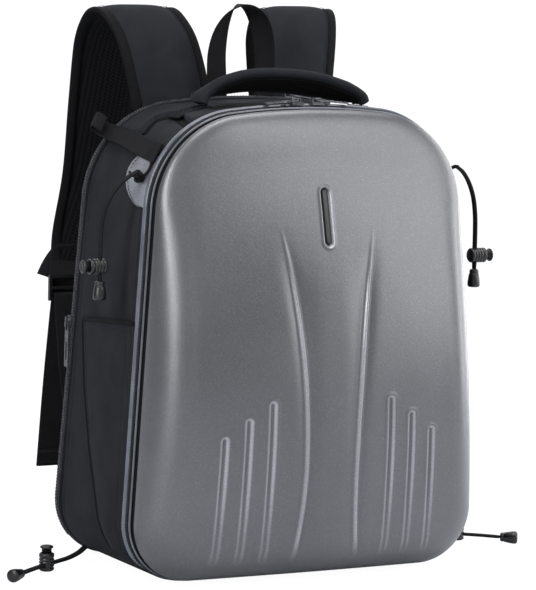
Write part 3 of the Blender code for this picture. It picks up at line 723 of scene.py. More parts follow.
def cord_lock(name, place):
    """A barrel lock with moulded grip rings, and its sprung button."""
    end = LOCK_LENGTH / 2
    profile = [(-end, 0.0010), (-end, 0.0052), (-end + 0.0006, 0.0066), (-end + 0.0018, LOCK_RADIUS)]
    for ring in range(4):
        start = -end + 0.0032 + ring * 0.0030
        profile += [(start, LOCK_RADIUS), (start + 0.0005, LOCK_RADIUS - 0.0007),
            (start + 0.0013, LOCK_RADIUS - 0.0007), (start + 0.0018, LOCK_RADIUS)]
    profile += [(end - 0.0010, LOCK_RADIUS), (end - 0.0002, LOCK_RADIUS - 0.0007), (end, 0.0062),
        (end - 0.0006, 0.0056), (end - 0.0060, 0.0055), (end - 0.0060, 0.0010)]
    lock = lathe("lock_body_" + name, profile, BLACK, place)
    finish_piece(lock, "cord_lock_" + name, ("cord_lock_" + name,))
    top = end + 0.0075
    cap = [(end - 0.0030, 0.0010), (end - 0.0030, 0.0049), (end + 0.0044, 0.0049),
        (end + 0.0048, 0.0060), (end + 0.0054, 0.0066)]
    cap += [(top - 0.0009, 0.0063), (top - 0.0002, 0.0054), (top, 0.0040), (top - 0.0004, 0.0022),
        (top - 0.0005, 0.0006)]
    button = lathe("lock_press_" + name, cap, BLACK, place)
    finish_piece(button, "lock_button_" + name, ("lock_button_" + name,))
    return lock, button


def bell(name, place):
    length = BELL_LENGTH
    profile = [(0, 0.0008), (0, 0.0038), (0.0005, 0.0044), (0.0030, 0.0049), (0.0034, 0.0045),
        (0.0040, 0.0045), (0.0044, 0.0051)]
    profile += [(0.0085, 0.0058), (0.0125, 0.0064), (length - 0.0022, 0.0065), (length - 0.0008, 0.0061),
        (length, 0.0050), (length, 0.0008)]
    return finish_piece(lathe("bell_" + name, profile, BLACK, place, 32), "case",
        ("cord_bell_" + name,))


def bungee(name, route, side, apart, lock_spot, run, barrel_axis):
    turn = Vector((side, 1, 1))
    middle = [Vector((side * x, FRONT_SEAM + y, z)) for x, y, z in route]
    apart = (Vector(apart) * turn).normalized()
    run = (Vector(run) * turn).normalized()
    barrel = (Vector(barrel_axis) * turn).normalized()
    centre = Vector((side * lock_spot[0], FRONT_SEAM + lock_spot[1], lock_spot[2])) + barrel * 0.0028
    lock, button = cord_lock(name, frame_matrix(centre, barrel, -run))
    end = bell(name, frame_matrix(middle[-1] + run * 0.0003, run, apart))
    for share, strand in ((-1, "a"), (1, "b")):
        path = [spot + apart * share * CORD_SPACING / 2 for spot in smooth_path(middle, 6)]
        cord = tube("elastic_%s_%s" % (name, strand), path, CORD_DIAMETER / 2, ELASTIC, 12)
        finish_piece(cord, "case", ("bungee_%s_%s" % (name, strand),))


for side, name in ((-1, "left"), (1, "right")):
    bungee("upper_" + name, UPPER_ROUTE, side, (0, 1, 0), UPPER_LOCK, (0, 0, -1), (1, 0, 0))
    bungee("lower_" + name, LOWER_ROUTE, side, (LOWER_RUN[1], -LOWER_RUN[0], 0), LOWER_LOCK, LOWER_RUN,
        (0, 0, 1))

# ---- Front shell ----

FACE_DEPTH, FACE_TILT, FACE_BOW, FACE_CROSS_BOW = 0.0724, 0.0077, 0.0193, 0.6
SHELL_EDGE = FRONT_SEAM - SHELL_BACK
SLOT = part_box("slot_inlay")
SLOT_LOW, SLOT_HIGH = float(SLOT[0][2]), float(SLOT[1][2])
GROOVES = ((0.0647, 0.0664, 0.183), (0.0889, 0.0915, 0.167), (0.1131, 0.1164, 0.150))  # top x, foot x, top z
GROOVE_FOOT = 0.026
RIDGE_TOP, RIDGE_WAIST, RIDGE_FOOT = 0.352, 0.118, 0.026
GROOVE_DEPTH, GROOVE_REACH = 0.0026, 0.0028
RIDGE_HALF_GAP, RIDGE_HEIGHT, RIDGE_REACH = 0.0275, 0.0034, 0.0026
SLOT_DEPTH = 0.0034


def face_depth(x, z):
    rise = (z - 0.200) / 0.170
    bowed = FACE_DEPTH - FACE_TILT * rise - FACE_BOW * rise * rise - FACE_CROSS_BOW * x * x
    least, soft = SHELL_EDGE + 0.010, 0.006
    return least + soft * np.log1p(np.exp((bowed - least) / soft))


def smooth(value, low, high):
    t = np.clip((value - low) / (high - low), 0, 1)
    return t * t * (3 - 2 * t)


def capsule(x, z, foot, head):
    """Distance from a straight centre line running from foot to head."""
    ax, az = foot
    dx, dz = head[0] - ax, head[1] - az
    t = np.clip(((x - ax) * dx + (z - az) * dz) / (dx * dx + dz * dz), 0, 1)
    return np.hypot(x - ax - t * dx, z - az - t * dz)


def hump(distance, reach, power=2):
    """1 at no distance, falling away at about reach; a higher power has a flatter top."""
    return np.exp(-((distance / reach) ** power))


def moulding(x, z):
    """Height of the slot, grooves and ridges above the smooth face, and the painted light there: painted
    highlights on the groove flanks, ridge crests and slot rim, painted shade in the groove bottoms and beside
    the ridges.
    """
    side = np.abs(x)
    height = np.zeros_like(x)
    pale = np.zeros_like(x)
    for head_x, foot_x, head_z in GROOVES:
        d = capsule(side, z, (foot_x, GROOVE_FOOT), (head_x, head_z - 0.004))
        strength = 0.35 + 0.65 * smooth(z, GROOVE_FOOT, GROOVE_FOOT + 0.090)
        strength = strength * smooth(z, GROOVE_FOOT - 0.006, GROOVE_FOOT + 0.008)
        height += strength * (0.0004 * hump(d - 0.0056, 0.0014) - GROOVE_DEPTH * hump(d, GROOVE_REACH))
        # Painted highlight on the groove flanks; painted shade along the groove bottom.
        flank = hump(d - 0.0030, 0.0015, 4)
        pale = np.maximum(pale, (0.25 + 0.75 * strength) * strength ** 0.4 * flank)
        pale = pale - 0.35 * strength * hump(d, 0.0014)
    bend = np.where(z > RIDGE_WAIST, 0.44, 0.80)
    ridge_x = RIDGE_HALF_GAP + bend * (z - RIDGE_WAIST) ** 2
    slant = np.sqrt(1 + (2 * bend * (z - RIDGE_WAIST)) ** 2)
    d = np.abs(side - ridge_x) / slant
    fade = smooth(z, RIDGE_FOOT - 0.006, RIDGE_FOOT + 0.020) * (1 - smooth(z, RIDGE_TOP - 0.085, RIDGE_TOP))
    reach = RIDGE_REACH * (0.60 + 0.40 * (1 - smooth(z, 0.20, RIDGE_TOP)))
    height += fade * (RIDGE_HEIGHT * hump(d, reach) - 0.0020 * hump(d, 0.0080))
    height += 0.0012 * fade * hump(x, 0.024, 4)
    # Painted highlight along the ridge crest; painted shade in a band beside it.
    pale = np.maximum(pale, 0.85 * fade * hump(d, reach, 4))
    pale = pale - 0.60 * fade * hump(d - 0.0058, 0.0026)
    d = capsule(x, z, (0, SLOT_LOW + 0.004), (0, SLOT_HIGH - 0.005))
    height += 0.0012 * hump(d - 0.0062, 0.0014) - SLOT_DEPTH * hump(d, 0.0046, 6)
    # Painted highlight round the slot's rim.
    pale = np.maximum(pale, 0.95 * hump(d - 0.0053, 0.0010, 4))
    return height, pale


def shell_surface(ring, edge_distance, wall=0.0, moulded=True):
    """Points of the shell's skin over outline points, by their distance in from the shell's edge."""
    x, z = ring[..., 0], ring[..., 1]
    across = np.clip(edge_distance / ROLL_OVER, 0, 1)
    roll = np.sqrt(np.maximum(1 - (1 - across) ** 2.6, 0))
    reach = SHELL_EDGE + (face_depth(x, z) - SHELL_EDGE) * roll
    if moulded:
        reach = reach + moulding(x, z)[0] * smooth(across, 0.25, 0.6)
    return np.stack([x, FRONT_SEAM - np.maximum(reach - wall * roll, SHELL_EDGE), z], -1)


def shell_skin(density, wall=0.0, moulded=True):
    """Vertices and faces: rolled rings, then a transfinite grid over the face."""
    sides = [int(round(length * density)) for length in (0.30, 0.38, 0.26, 0.38)]
    n, m = sides[0], sides[1]
    sides = (n, m, n, m)
    turns = np.linspace(0, math.pi / 2, max(int(0.070 * density), 8))
    rings = []
    for turn in turns:
        edge = ROLL_OVER * (1 - math.cos(turn))
        ring, _ = outline_points(SHELL_INSET + wall + edge, sides=sides)
        rings.append(shell_surface(ring, edge, wall, moulded))
    last, _ = outline_points(SHELL_INSET + wall + ROLL_OVER, sides=sides)
    flat = last[:, :2]
    bottom, right = flat[0:n + 1], flat[n:n + m + 1]
    top, left = flat[n + m:n + m + n + 1][::-1], np.concatenate([flat[n + m + n:], flat[:1]])[::-1]
    u = np.linspace(0, 1, n + 1)[None, :, None]
    v = np.linspace(0, 1, m + 1)[:, None, None]
    grid = (1 - v) * bottom[None] + v * top[None] + (1 - u) * left[:, None] + u * right[:, None]
    grid -= (1 - u) * (1 - v) * flat[0] + u * (1 - v) * bottom[-1] + (1 - u) * v * top[0] + u * v * top[-1]
    face = shell_surface(grid, np.full(grid.shape[:2], ROLL_OVER), wall, moulded)
    count = len(last)
    verts = np.concatenate([np.concatenate(rings), face.reshape(-1, 3)])
    faces = grid_faces(len(rings), count, wrap_columns=True).tolist()
    start = len(rings) * count
    index = start + np.arange((m + 1) * (n + 1)).reshape(m + 1, n + 1)
    loop = [index[0, k] for k in range(n)] + [index[k, n] for k in range(m)]
    loop += [index[m, n - k] for k in range(n)] + [index[m - k, 0] for k in range(m)]
    inner = (len(rings) - 1) * count
    remap = {int(spot): inner + k for k, spot in enumerate(loop)}
    for quad in grid_faces(m + 1, n + 1).tolist():
        faces.append([remap.get(start + i, start + i) for i in quad])
    return verts, faces


def compact(verts, faces):
    used = np.unique(np.concatenate([np.asarray(f) for f in faces]))
    index = np.full(len(verts), -1)
    index[used] = np.arange(len(used))
    return verts[used], [[int(index[i]) for i in f] for f in faces]


WALL_THICKNESS = 0.0035
INNER_SETBACK = 0.0036  # keeps the inner skin clear of the deepest groove
# attribute level that leaves the shell's colour as it is, with no painted light or shade
NO_PAINTED_LIGHT = 0.35


def front_shell():
    density = 1250
    verts, faces = compact(*shell_skin(density))
    inner, inner_faces = compact(*shell_skin(160, WALL_THICKNESS, False))
    inner[:, 1] += INNER_SETBACK * smooth(SHELL_BACK - inner[:, 1], 0.004, 0.020)
    outer = link_mesh("shell_outer", verts, faces, SHELL, verts[:, [0, 2]])
    # Painted light: the highlights and shade from moulding() are stored per point on the shell's face and
    # scale its colour.
    stretched = outer.data.attributes.new("painted_light", "FLOAT", "POINT")
    face_side = smooth(SHELL_BACK - verts[:, 1], 0.020, 0.034)
    pale = moulding(verts[:, 0], verts[:, 2])[1] * face_side
    stretched.data.foreach_set("value", np.clip(NO_PAINTED_LIGHT + (1 - NO_PAINTED_LIGHT) * pale, 0, 1))
    lining = link_mesh("shell_lining", inner, inner_faces, LINING, inner[:, [0, 2]])
    sides = (120, 150, 120, 150)
    rows = []
    for inset in (SHELL_INSET, SHELL_INSET + 0.0012, SHELL_INSET + 0.0024, SHELL_INSET + 0.0036):
        ring, _ = outline_points(inset, sides=sides)
        back = SHELL_BACK - 0.0001
        rows.append(np.stack([ring[:, 0], np.full(len(ring), back), ring[:, 1]], 1))
    lip = skin("shell_lip", rows, SHELL, wrap_columns=True)
    agree_faces(outer.data, -1)
    agree_faces(lining.data, 1)
    shell = join_pieces("moulded_shell", [outer, lining, lip])
    finish_piece(shell, "lid", ("front_shell",))


def slot_inlay():
    """The dark strip at the bottom of the central slot."""
    path = [Vector((0, FRONT_SEAM - float(face_depth(np.array(0.0), np.array(z))) + 0.0018, z))
        for z in np.linspace(SLOT_LOW + 0.0015, SLOT_HIGH - 0.0015, 30)]
    widths = [0.0050 * math.sqrt(max(1 - ((i - 14.5) / 15.2) ** 10, 0.05)) for i in range(30)]
    strip = swept_strap("slot_strip", path, [(1, 0, 0)] * 30, widths, 0.0012, BLACK)
    finish_piece(strip, "lid", ("slot_inlay",))


front_shell()
slot_inlay()

# ---- Bands that follow the outline ----


OUTLINE_LENGTH = 1.46  # metres round the case, for point counts and tooth spacing


def outline_band(name, profile, mat, per_metre=420, ripple=None, wrap=True):
    """A band swept round the case from (inset, y) pairs; ripple(run, k, ring) shifts point k outwards."""
    rows = []
    for k, (inset, y) in enumerate(profile):
        ring, run = outline_points(inset, per_metre=per_metre)
        count = int(OUTLINE_LENGTH * per_metre)
        at = np.linspace(0, 1, count + 1)[:-1]
        share = np.arange(len(ring)) / len(ring)
        ring = np.stack([np.interp(at, np.append(share, 1), np.append(ring[:, c], ring[0, c]))
            for c in range(4)], 1)
        shift = ripple(at * OUTLINE_LENGTH, k, ring) if ripple is not None else 0.0
        level = ring[:, 1] + ring[:, 3] * shift
        rows.append(np.stack([ring[:, 0] + ring[:, 2] * shift, leaned(y, level), level], 1))
    return skin(name, rows, mat, wrap_rows=wrap, wrap_columns=True)


def above_floor(run, k, ring):
    """Pulls a bulging band in where it passes under the case."""
    return -0.0030 * (1 - smooth(ring[:, 1], BASE_Z + 0.002, BASE_Z + 0.030))


def edge_trim():
    """A black groove round the shell with a thin bright bead behind it."""
    front = TRIM_FRONT
    back = front + 0.0101
    profile = [(0.0072, front + 0.0001), (0.0036, front + 0.0001), (0.0042, front + 0.0030),
        (0.0040, front + 0.0064)]
    for k in range(9):
        turn = math.pi * k / 8
        profile.append((0.0026 - 0.0016 * math.sin(turn), front + 0.0078 - 0.0010 * math.cos(turn)))
    profile += [(0.0036, back - 0.0008), (0.0036, back - 0.0001), (0.0072, back - 0.0001)]
    band = outline_band("edge_groove", profile, BINDING, 500)
    band.data.materials.append(TRIM)
    columns = len(band.data.polygons) // len(profile)
    rows = np.repeat(np.arange(len(profile)), columns)
    band.data.polygons.foreach_set("material_index", ((rows >= 4) & (rows <= 11)).astype(np.int32))
    finish_piece(band, "lid", ("shell_edge_trim",))


def edge_piping():
    """Glossy piping sewn round the front of the fabric wall."""
    middle, radius = FRONT_SEAM + 0.0046, 0.0042
    profile = [(0.0040, middle - radius)]
    for k in range(13):
        turn = math.pi * k / 12
        profile.append((0.0010 - (radius - 0.0014) * math.sin(turn), middle - radius * math.cos(turn)))
    profile.append((0.0040, middle + radius))
    finish_piece(outline_band("edge_piping", profile, TRIM, 500, above_floor), "case")


def zip_band(name, y_edge, y_seam, body, replaced, rise=0.0):
    """A zip's tape and its row of moulded teeth beside the seam; rise lifts the tape over the cloth."""
    width = y_seam - y_edge
    profile = [(0.0085, y_edge), (0.0022 - rise, y_edge), (0.0017 - rise, y_edge + width * 0.10)]
    profile += [(0.0017 - rise, y_edge + width * 0.38), (0.0006 - rise, y_edge + width * 0.50)]
    profile += [(0.0001 - rise, y_edge + width * 0.70), (0.0004 - rise, y_edge + width * 0.92),
        (0.0085, y_seam)]

    def coils(run, k, ring):
        if k not in (4, 5, 6):
            return 0.0
        phase = run / COIL_PITCH + (0.5 if width < 0 else 0.0)
        beat = np.abs(np.sin(np.pi * phase)) ** 0.6
        return np.where(ring[:, 1] < BASE_Z + 0.02, beat * 0.0002, beat * 0.0011) - 0.0006

    band = outline_band(name, profile, WEBBING, 2200, coils)
    band.data.materials.append(COIL)
    columns = len(band.data.polygons) // len(profile)
    rows = np.repeat(np.arange(len(profile)), columns)
    band.data.polygons.foreach_set("material_index", np.isin(rows, (3, 4, 5, 6)).astype(np.int32))
    finish_piece(band, body, replaced)


ARCH = ((46.0, 0.082), (50.5, 0.086), (56.5, 0.090), (61.9, 0.088), (68.0, 0.072), (67.8, 0.052),
    (65.3, 0.036), (61.3, 0.008), (60.0, -0.004))


def arch_line():
    """The lip of the shoulder flap as points of arc length round the corner and depth behind the seam."""
    points = [(math.radians(angle) * TOP_RADIUS * 10, back * 10, 0) for angle, back in ARCH]
    return np.array([(p.x / 10, p.y / 10) for p in smooth_path(points, 6)])


LIP = arch_line()


def past_lip(x, y, z):
    """Distance outside the flap's lip, negative under the arch, and how strongly the flap shows."""
    angle = np.arctan2(z - TOP_CORNER[1], np.maximum(np.abs(x) - TOP_CORNER[0], 1e-6))
    spot = np.stack([angle * TOP_RADIUS, y - FRONT_SEAM], -1)
    best = np.full(spot.shape[0], 1e9)
    sign = np.ones(spot.shape[0])
    for a, b in zip(LIP, LIP[1:]):
        run = b - a
        t = np.clip(((spot - a) @ run) / (run @ run), 0, 1)
        gap = spot - a - t[:, None] * run
        far = np.hypot(gap[:, 0], gap[:, 1])
        side = np.sign(run[0] * (spot[:, 1] - a[1]) - run[1] * (spot[:, 0] - a[0]))
        sign = np.where(far < best, side, sign)
        best = np.minimum(far, best)
    degrees = np.degrees(angle)
    shown = smooth(degrees, 42, 50) * (1 - smooth(degrees, 80, 86)) * smooth(y - FRONT_SEAM, 0.006, 0.016)
    shown = shown * (np.abs(x) > TOP_CORNER[0])
    return best * sign, shown


def gusset():
    """The fabric wall: panels that dip between the seams, soft folds and an arched flap on each shoulder."""
    front, back = float(GUSSET[0][1]), float(GUSSET[1][1])
    steps = 110
    outer = [(0.0, front + (back - front) * k / steps) for k in range(steps + 1)]
    profile = [(0.0042, front)] + outer + [(0.0042, back)]

    def sag(run, k, ring):
        t = np.clip((k - 1) / steps, 0, 1)
        bow = math.sin(math.pi * t)
        x, z = ring[:, 0], ring[:, 1]
        y = front + (back - front) * t
        soft = np.zeros_like(x)
        outside = 0 < k <= steps + 1
        fold = small = soft
        if outside:
            fold = np.array([noise.noise(Vector((px * 9, y * 14, pz * 9))) for px, pz in zip(x, z)])
            small = np.array([noise.noise(Vector((px * 34 + 7, y * 26, pz * 20))) for px, pz in zip(x, z)])
        raised = smooth(z, BASE_Z + 0.02, BASE_Z + 0.07)
        upper = smooth(z, 0.30, 0.42)
        soft = bow ** 0.7 * raised * (0.0030 * fold + 0.0011 * small - 0.0022 * upper)
        away, shown = past_lip(x, leaned(y, z), z)
        flap = np.where(away > 0, 0.0028 * np.exp(-np.maximum(away, 0) / 0.014),
            -0.0027 * np.exp(np.minimum(away, 0) / 0.022))
        soft = soft * (1 - shown) + (flap * shown if outside else 0.0)
        seam = -0.0010 * (math.exp(-(((t - 0.065) / 0.012) ** 2))
            + math.exp(-(((t - 0.905) / 0.012) ** 2))) * raised
        return np.maximum(soft + seam, -0.0027)

    band = outline_band("fabric_gusset", profile, BODY_CLOTH, 640, sag)
    inner = [(0.0042, front + 0.0004), (0.0040, back - 0.0004)]
    lining = outline_band("gusset_lining", inner, LINING, 120, None, wrap=False)
    whole = join_pieces("fabric_gusset", [band, lining])
    finish_piece(whole, "case", ("gusset",))


def shoulder_shade_sheet(side):
    """A near-black sheet tucked under the flap's arched lip: painted shade, standing in for the lip's shadow.
    """
    rows = []
    for i, spot in enumerate(LIP[:-4]):
        ahead = LIP[i + 1] - LIP[max(i - 1, 0)]
        inward = np.array([ahead[1], -ahead[0]]) / np.hypot(*ahead)
        row = []
        for far in np.linspace(-0.0004, 0.0115, 12):
            arc, back = spot + inward * far
            turn = arc / TOP_RADIUS
            x = TOP_CORNER[0] + TOP_RADIUS * math.cos(turn)
            z = TOP_CORNER[1] + TOP_RADIUS * math.sin(turn)
            _, shown = past_lip(np.array([x]), np.array([FRONT_SEAM + back]), np.array([z]))
            off = -0.0027 * math.exp(-max(far, 0) / 0.022) * float(shown[0])
            off = off + 0.0006 - 0.0012 * max(far / 0.0115 - 0.75, 0) * 4
            row.append((side * (x + off * math.cos(turn)), FRONT_SEAM + back, z + off * math.sin(turn)))
        rows.append(row)
    finish_piece(skin("shoulder_shade_sheet_" + side_name(side), rows, PAINTED_SHADE), "case")


def seam_stitching(name, behind, body):
    """A stitched line right round the gusset, this far behind the front seam."""
    ring, _ = outline_points(-0.0006, per_metre=300)
    ring = ring[ring[:, 1] > BASE_Z + 0.012]
    order = np.argsort(np.arctan2(ring[:, 0], ring[:, 1] - 0.02))
    ring = ring[order]
    path = [(x, leaned(FRONT_SEAM + behind, z), z) for x, z in ring[:, :2]]
    normals = [(nx, 0, nz) for nx, nz in ring[:, 2:]]
    finish_piece(stitch_row(name, path, normals), body)


edge_trim()
edge_piping()
zip_band("front_lid_coils", TRIM_FRONT + 0.0104, FRONT_SEAM - 0.0003, "lid", ("lid_zip_tape",))
zip_band("front_case_coils", FRONT_SEAM + 0.0027, FRONT_SEAM + 0.0003, "case", ("front_zip_tape",))
zip_band("rear_case_coils", REAR_SEAM - 0.0115, REAR_SEAM - 0.0003, "case",
    ("rear_zip_tape",), 0.0022)
zip_band("rear_panel_coils", REAR_SEAM + 0.0030, REAR_SEAM + 0.0003, "back_panel",
    ("panel_zip_tape",), 0.0014)
gusset()
shoulder_shade_sheet(-1)
shoulder_shade_sheet(1)
seam_stitching("front_seam_stitches", 0.0085, "case")

# ---- Pieces sewn on the gusset ----


def case_wall():
    ring, _ = outline_points(0, 1500)
    half = ring[ring[:, 0] > 0.002]
    return half[np.argsort(half[:, 1])]


WALL = case_wall()


def wall_spot(side, z, back, off):
    """A point off metres outside the case's side at this height, back metres behind the front seam."""
    x, nx, nz = (np.interp(z, WALL[:, 1], WALL[:, k]) for k in (0, 2, 3))
    return Vector((side * (x + nx * off), FRONT_SEAM + back, z + nz * off))


def corner_spot(side, angle, back, off):
    """A point off metres outside the upper corner, at this angle above level."""
    reach = TOP_RADIUS + off
    return Vector((side * (TOP_CORNER[0] + reach * math.cos(angle)), FRONT_SEAM + back,
        TOP_CORNER[1] + reach * math.sin(angle)))


def thicken(obj, thickness, offset=-1.0):
    made = obj.modifiers.new("thickness", "SOLIDIFY")
    made.thickness = thickness
    made.offset = offset
    return obj


POCKET_LOW = 0.030
POCKET_FRONT = 0.006
POCKET_REAR = ((0.030, 0.047), (0.072, 0.066), (0.120, 0.090), (0.180, 0.112), (0.245, 0.127))
MOUTH_FRONT, MOUTH_REAR = 0.2530, 0.2440


def pocket_rear(z):
    return float(np.interp(z, *zip(*POCKET_REAR)))


def pocket_spot(side, u, v, lift=0.0):
    """A point of the pocket's cloth: u runs from its front seam to its rear one, v from foot to mouth."""
    top = MOUTH_FRONT + (MOUTH_REAR - MOUTH_FRONT) * u
    z = POCKET_LOW + (top - POCKET_LOW) * v
    back = POCKET_FRONT + (pocket_rear(z) - POCKET_FRONT) * u
    pulled = math.sin(math.pi * min(max(u, 0.0), 1.0)) ** 0.75
    swell = 0.0014 + 0.0046 * pulled * (0.30 + 0.70 * math.sin(math.pi * min(v * 0.62 + 0.12, 1.0)))
    fold = 0.0013 * noise.noise(Vector((u * 3.1, v * 5.3, 4.0 + side))) * pulled
    dip = -0.0009 * math.exp(-(((u - 0.93) / 0.018) ** 2)) - 0.0007 * math.exp(-(((u - 0.10) / 0.02) ** 2))
    return wall_spot(side, z, back, swell + fold + dip + lift)


def side_pocket(side):
    name = side_name(side)
    rows = [[pocket_spot(side, u, v) for u in np.linspace(0, 1, 70)] for v in np.linspace(0, 1, 90)]
    cloth = thicken(skin("pocket_cloth", rows, BODY_CLOTH), 0.0009, 0)
    rows = []
    for z in np.linspace(0.16, 0.246, 12):
        rows.append([wall_spot(side, z, back, 0.0008)
            for back in np.linspace(0.008, pocket_rear(z) - 0.003, 10)])
    lining = skin("pocket_lining", rows, BINDING)
    mouth = [pocket_spot(side, u, 1.0, 0.0004) for u in np.linspace(0, 1, 40)]
    hem = tube("pocket_hem", mouth, 0.0013, BINDING, 10)
    rear = [pocket_spot(side, 1.0, v, 0.0002) for v in np.linspace(0, 1, 60)]
    edge = tube("pocket_rear_piping", rear, 0.0015, BINDING, 10)
    whole = join_pieces("side_pocket_cloth_" + name, [cloth, lining, hem, edge])
    thicken(whole, 0.0006, 0)
    finish_piece(whole, "case", ("side_pocket_" + name,))
    shine = [pocket_spot(side, u, 1.0, 0.0012) for u in np.linspace(0.55, 0.96, 24)]
    band = swept_strap("pocket_reflector_" + name, shine, [(0, 0, 1)] * 24, [0.0030] * 24, 0.0007, FILM)
    finish_piece(band, "case")
    for label, u, low in (("rear", 0.90, 0.02), ("front", 0.07, 0.02)):
        path = [pocket_spot(side, u, v, 0.0006) for v in np.linspace(low, 0.985, 80)]
        finish_piece(stitch_row("pocket_%s_stitches_%s" % (label, name), path, [(side, 0, 0)] * 80),
            "case")
    path = [pocket_spot(side, u, 0.975, 0.0006) for u in np.linspace(0.03, 0.97, 40)]
    finish_piece(stitch_row("pocket_mouth_stitches_" + name, path, [(side, 0, 0)] * 40), "case")


PATCH_ANGLES = (0.5, 3.0, 8.0, 12.0, 17.5, 23.0, 28.0, 32.5)
PATCH_REACH = (0.0060, 0.024, 0.041, 0.050, 0.0575, 0.0590, 0.0560, 0.0490)


def patch_spot(side, i, u, off):
    share = i * (len(PATCH_ANGLES) - 1)
    angle = math.radians(float(np.interp(share, range(len(PATCH_ANGLES)), PATCH_ANGLES)))
    reach = float(np.interp(share, range(len(PATCH_REACH)), PATCH_REACH))
    return corner_spot(side, max(angle, side_angle()), 0.0040 + (reach - 0.0040) * u, off)


def reflective_patch(side):
    name = side_name(side)
    rows = [[patch_spot(side, i, u, 0.0013) for u in np.linspace(0, 1, 24)] for i in np.linspace(0, 1, 50)]
    patch = thicken(skin("reflective_leaf_" + name, rows, FILM), 0.0008)
    finish_piece(patch, "case", ("reflective_patch_" + name,))
    edge = [patch_spot(side, i, 0.88, 0.0016) for i in np.linspace(0.03, 0.97, 60)]
    edge += [patch_spot(side, 0.965, u, 0.0016) for u in np.linspace(0.9, 0.1, 20)]
    normals = [(p - Vector((side * TOP_CORNER[0], p.y, TOP_CORNER[1]))).normalized() for p in edge]
    finish_piece(stitch_row("reflective_stitches_" + name, edge, normals, BINDING), "case")


GEAR_LOOP = (
    # degrees round the corner, behind the front seam, off the case
    (34.0, 0.0060, 0.0036), (36.5, 0.0460, 0.0040), (40.5, 0.0960, 0.0044), (42.0, 0.1340, 0.0052),
    (43.0, 0.1530, 0.0060), (43.5, 0.1610, 0.0095), (43.5, 0.1610, 0.0160), (43.5, 0.1540, 0.0198),
    (43.5, 0.1460, 0.0180), (43.5, 0.1425, 0.0125),
)
LOOP_WIDTH, WEBBING_THICKNESS = 0.022, 0.0018


def gear_loop(side):
    """Webbing that crosses the shoulder of the case aslant, rolled back into an open loop at its end."""
    name = side_name(side)
    points = smooth_path([(angle, back * 1000, off * 1000) for angle, back, off in GEAR_LOOP], 8)
    path, across = [], []
    for i, (angle, back, off) in enumerate(points):
        turn = math.radians(angle)
        path.append(corner_spot(side, turn, back / 1000, off / 1000))
        turned = 0.10 + 0.62 * min(i / 30, 1.0)
        across.append(Vector((-side * math.sin(turn), turned, math.cos(turn))).normalized())
    count = len(path)
    strap = swept_strap("gear_webbing_" + name, path, across, [LOOP_WIDTH] * count, WEBBING_THICKNESS,
        WEBBING)
    finish_piece(strap, "case", ("gear_loop_" + name,))
    for label, i in (("front", 3), ("front2", 4), ("rear", 20), ("rear2", 21)):
        normal = (path[i] - Vector((side * TOP_CORNER[0], path[i].y, TOP_CORNER[1]))).normalized()
        row = [path[i] + normal * 0.0011 + across[i] * a for a in np.linspace(-0.010, 0.010, 12)]
        finish_piece(stitch_row("gear_tack_%s_%s" % (label, name), row, [normal] * 12), "case")


def cord_anchor(side):
    """The knot that ties the upper cord down on the patch, and the turn of elastic that feeds it."""
    name = side_name(side)
    root = Vector((side * UPPER_ROUTE[0][0], FRONT_SEAM + UPPER_ROUTE[0][1], UPPER_ROUTE[0][2]))
    centre = corner_spot(side, math.radians(18.8), 0.020, 0.0050)
    loop = []
    for k in range(44):
        turn = 2 * math.pi * k / 20
        loop.append(centre + Vector((side * 0.0022 * math.sin(turn * 1.5), 0.0058 * math.cos(turn),
            0.0040 * math.sin(turn))))
    parts = [tube("knot_turn", loop, 0.0016, ELASTIC, 10)]
    feed = [(18.8, 0.020, 0.0050), (20.5, 0.011, 0.0042), (24.0, 0.0075, 0.0034), (28.5, 0.0105, 0.0030),
        (32.5, 0.020, 0.0026)]
    path = [corner_spot(side, math.radians(angle), back, off) for angle, back, off in feed]
    parts.append(tube("knot_feed", smooth_path(path, 6), 0.0016, ELASTIC, 10))
    for share in (-1, 1):
        lay = Vector((0, share * CORD_SPACING / 2, 0))
        run = [centre, centre.lerp(root + lay, 0.5) + Vector((side * 0.0015, 0, 0.001)), root + lay,
            root + lay + Vector((side * 0.002, 0, -0.001))]
        parts.append(tube("knot_run", smooth_path(run, 5), 0.0015, ELASTIC, 10))
    tail = [centre, centre + Vector((side * 0.0040, 0.007, 0.001)),
        centre + Vector((side * 0.0045, 0.0125, 0.0045))]
    parts.append(tube("knot_tail", smooth_path(tail, 5), 0.0014, ELASTIC, 10))
    finish_piece(join_pieces("elastic_knot_" + name, parts), "case")


for side in (-1, 1):
    side_pocket(side)
    reflective_patch(side)
    gear_loop(side)
    cord_anchor(side)

# ---- Padded bands: carry handle and shoulder straps ----


def sampled(points, values, steps):
    """A smooth path through the points, and each value list read at the same places."""
    path = smooth_path(points, steps)
    at = np.arange(len(path)) / steps
    return path, [[float(v) for v in np.interp(at, range(len(points)), row)] for row in values]


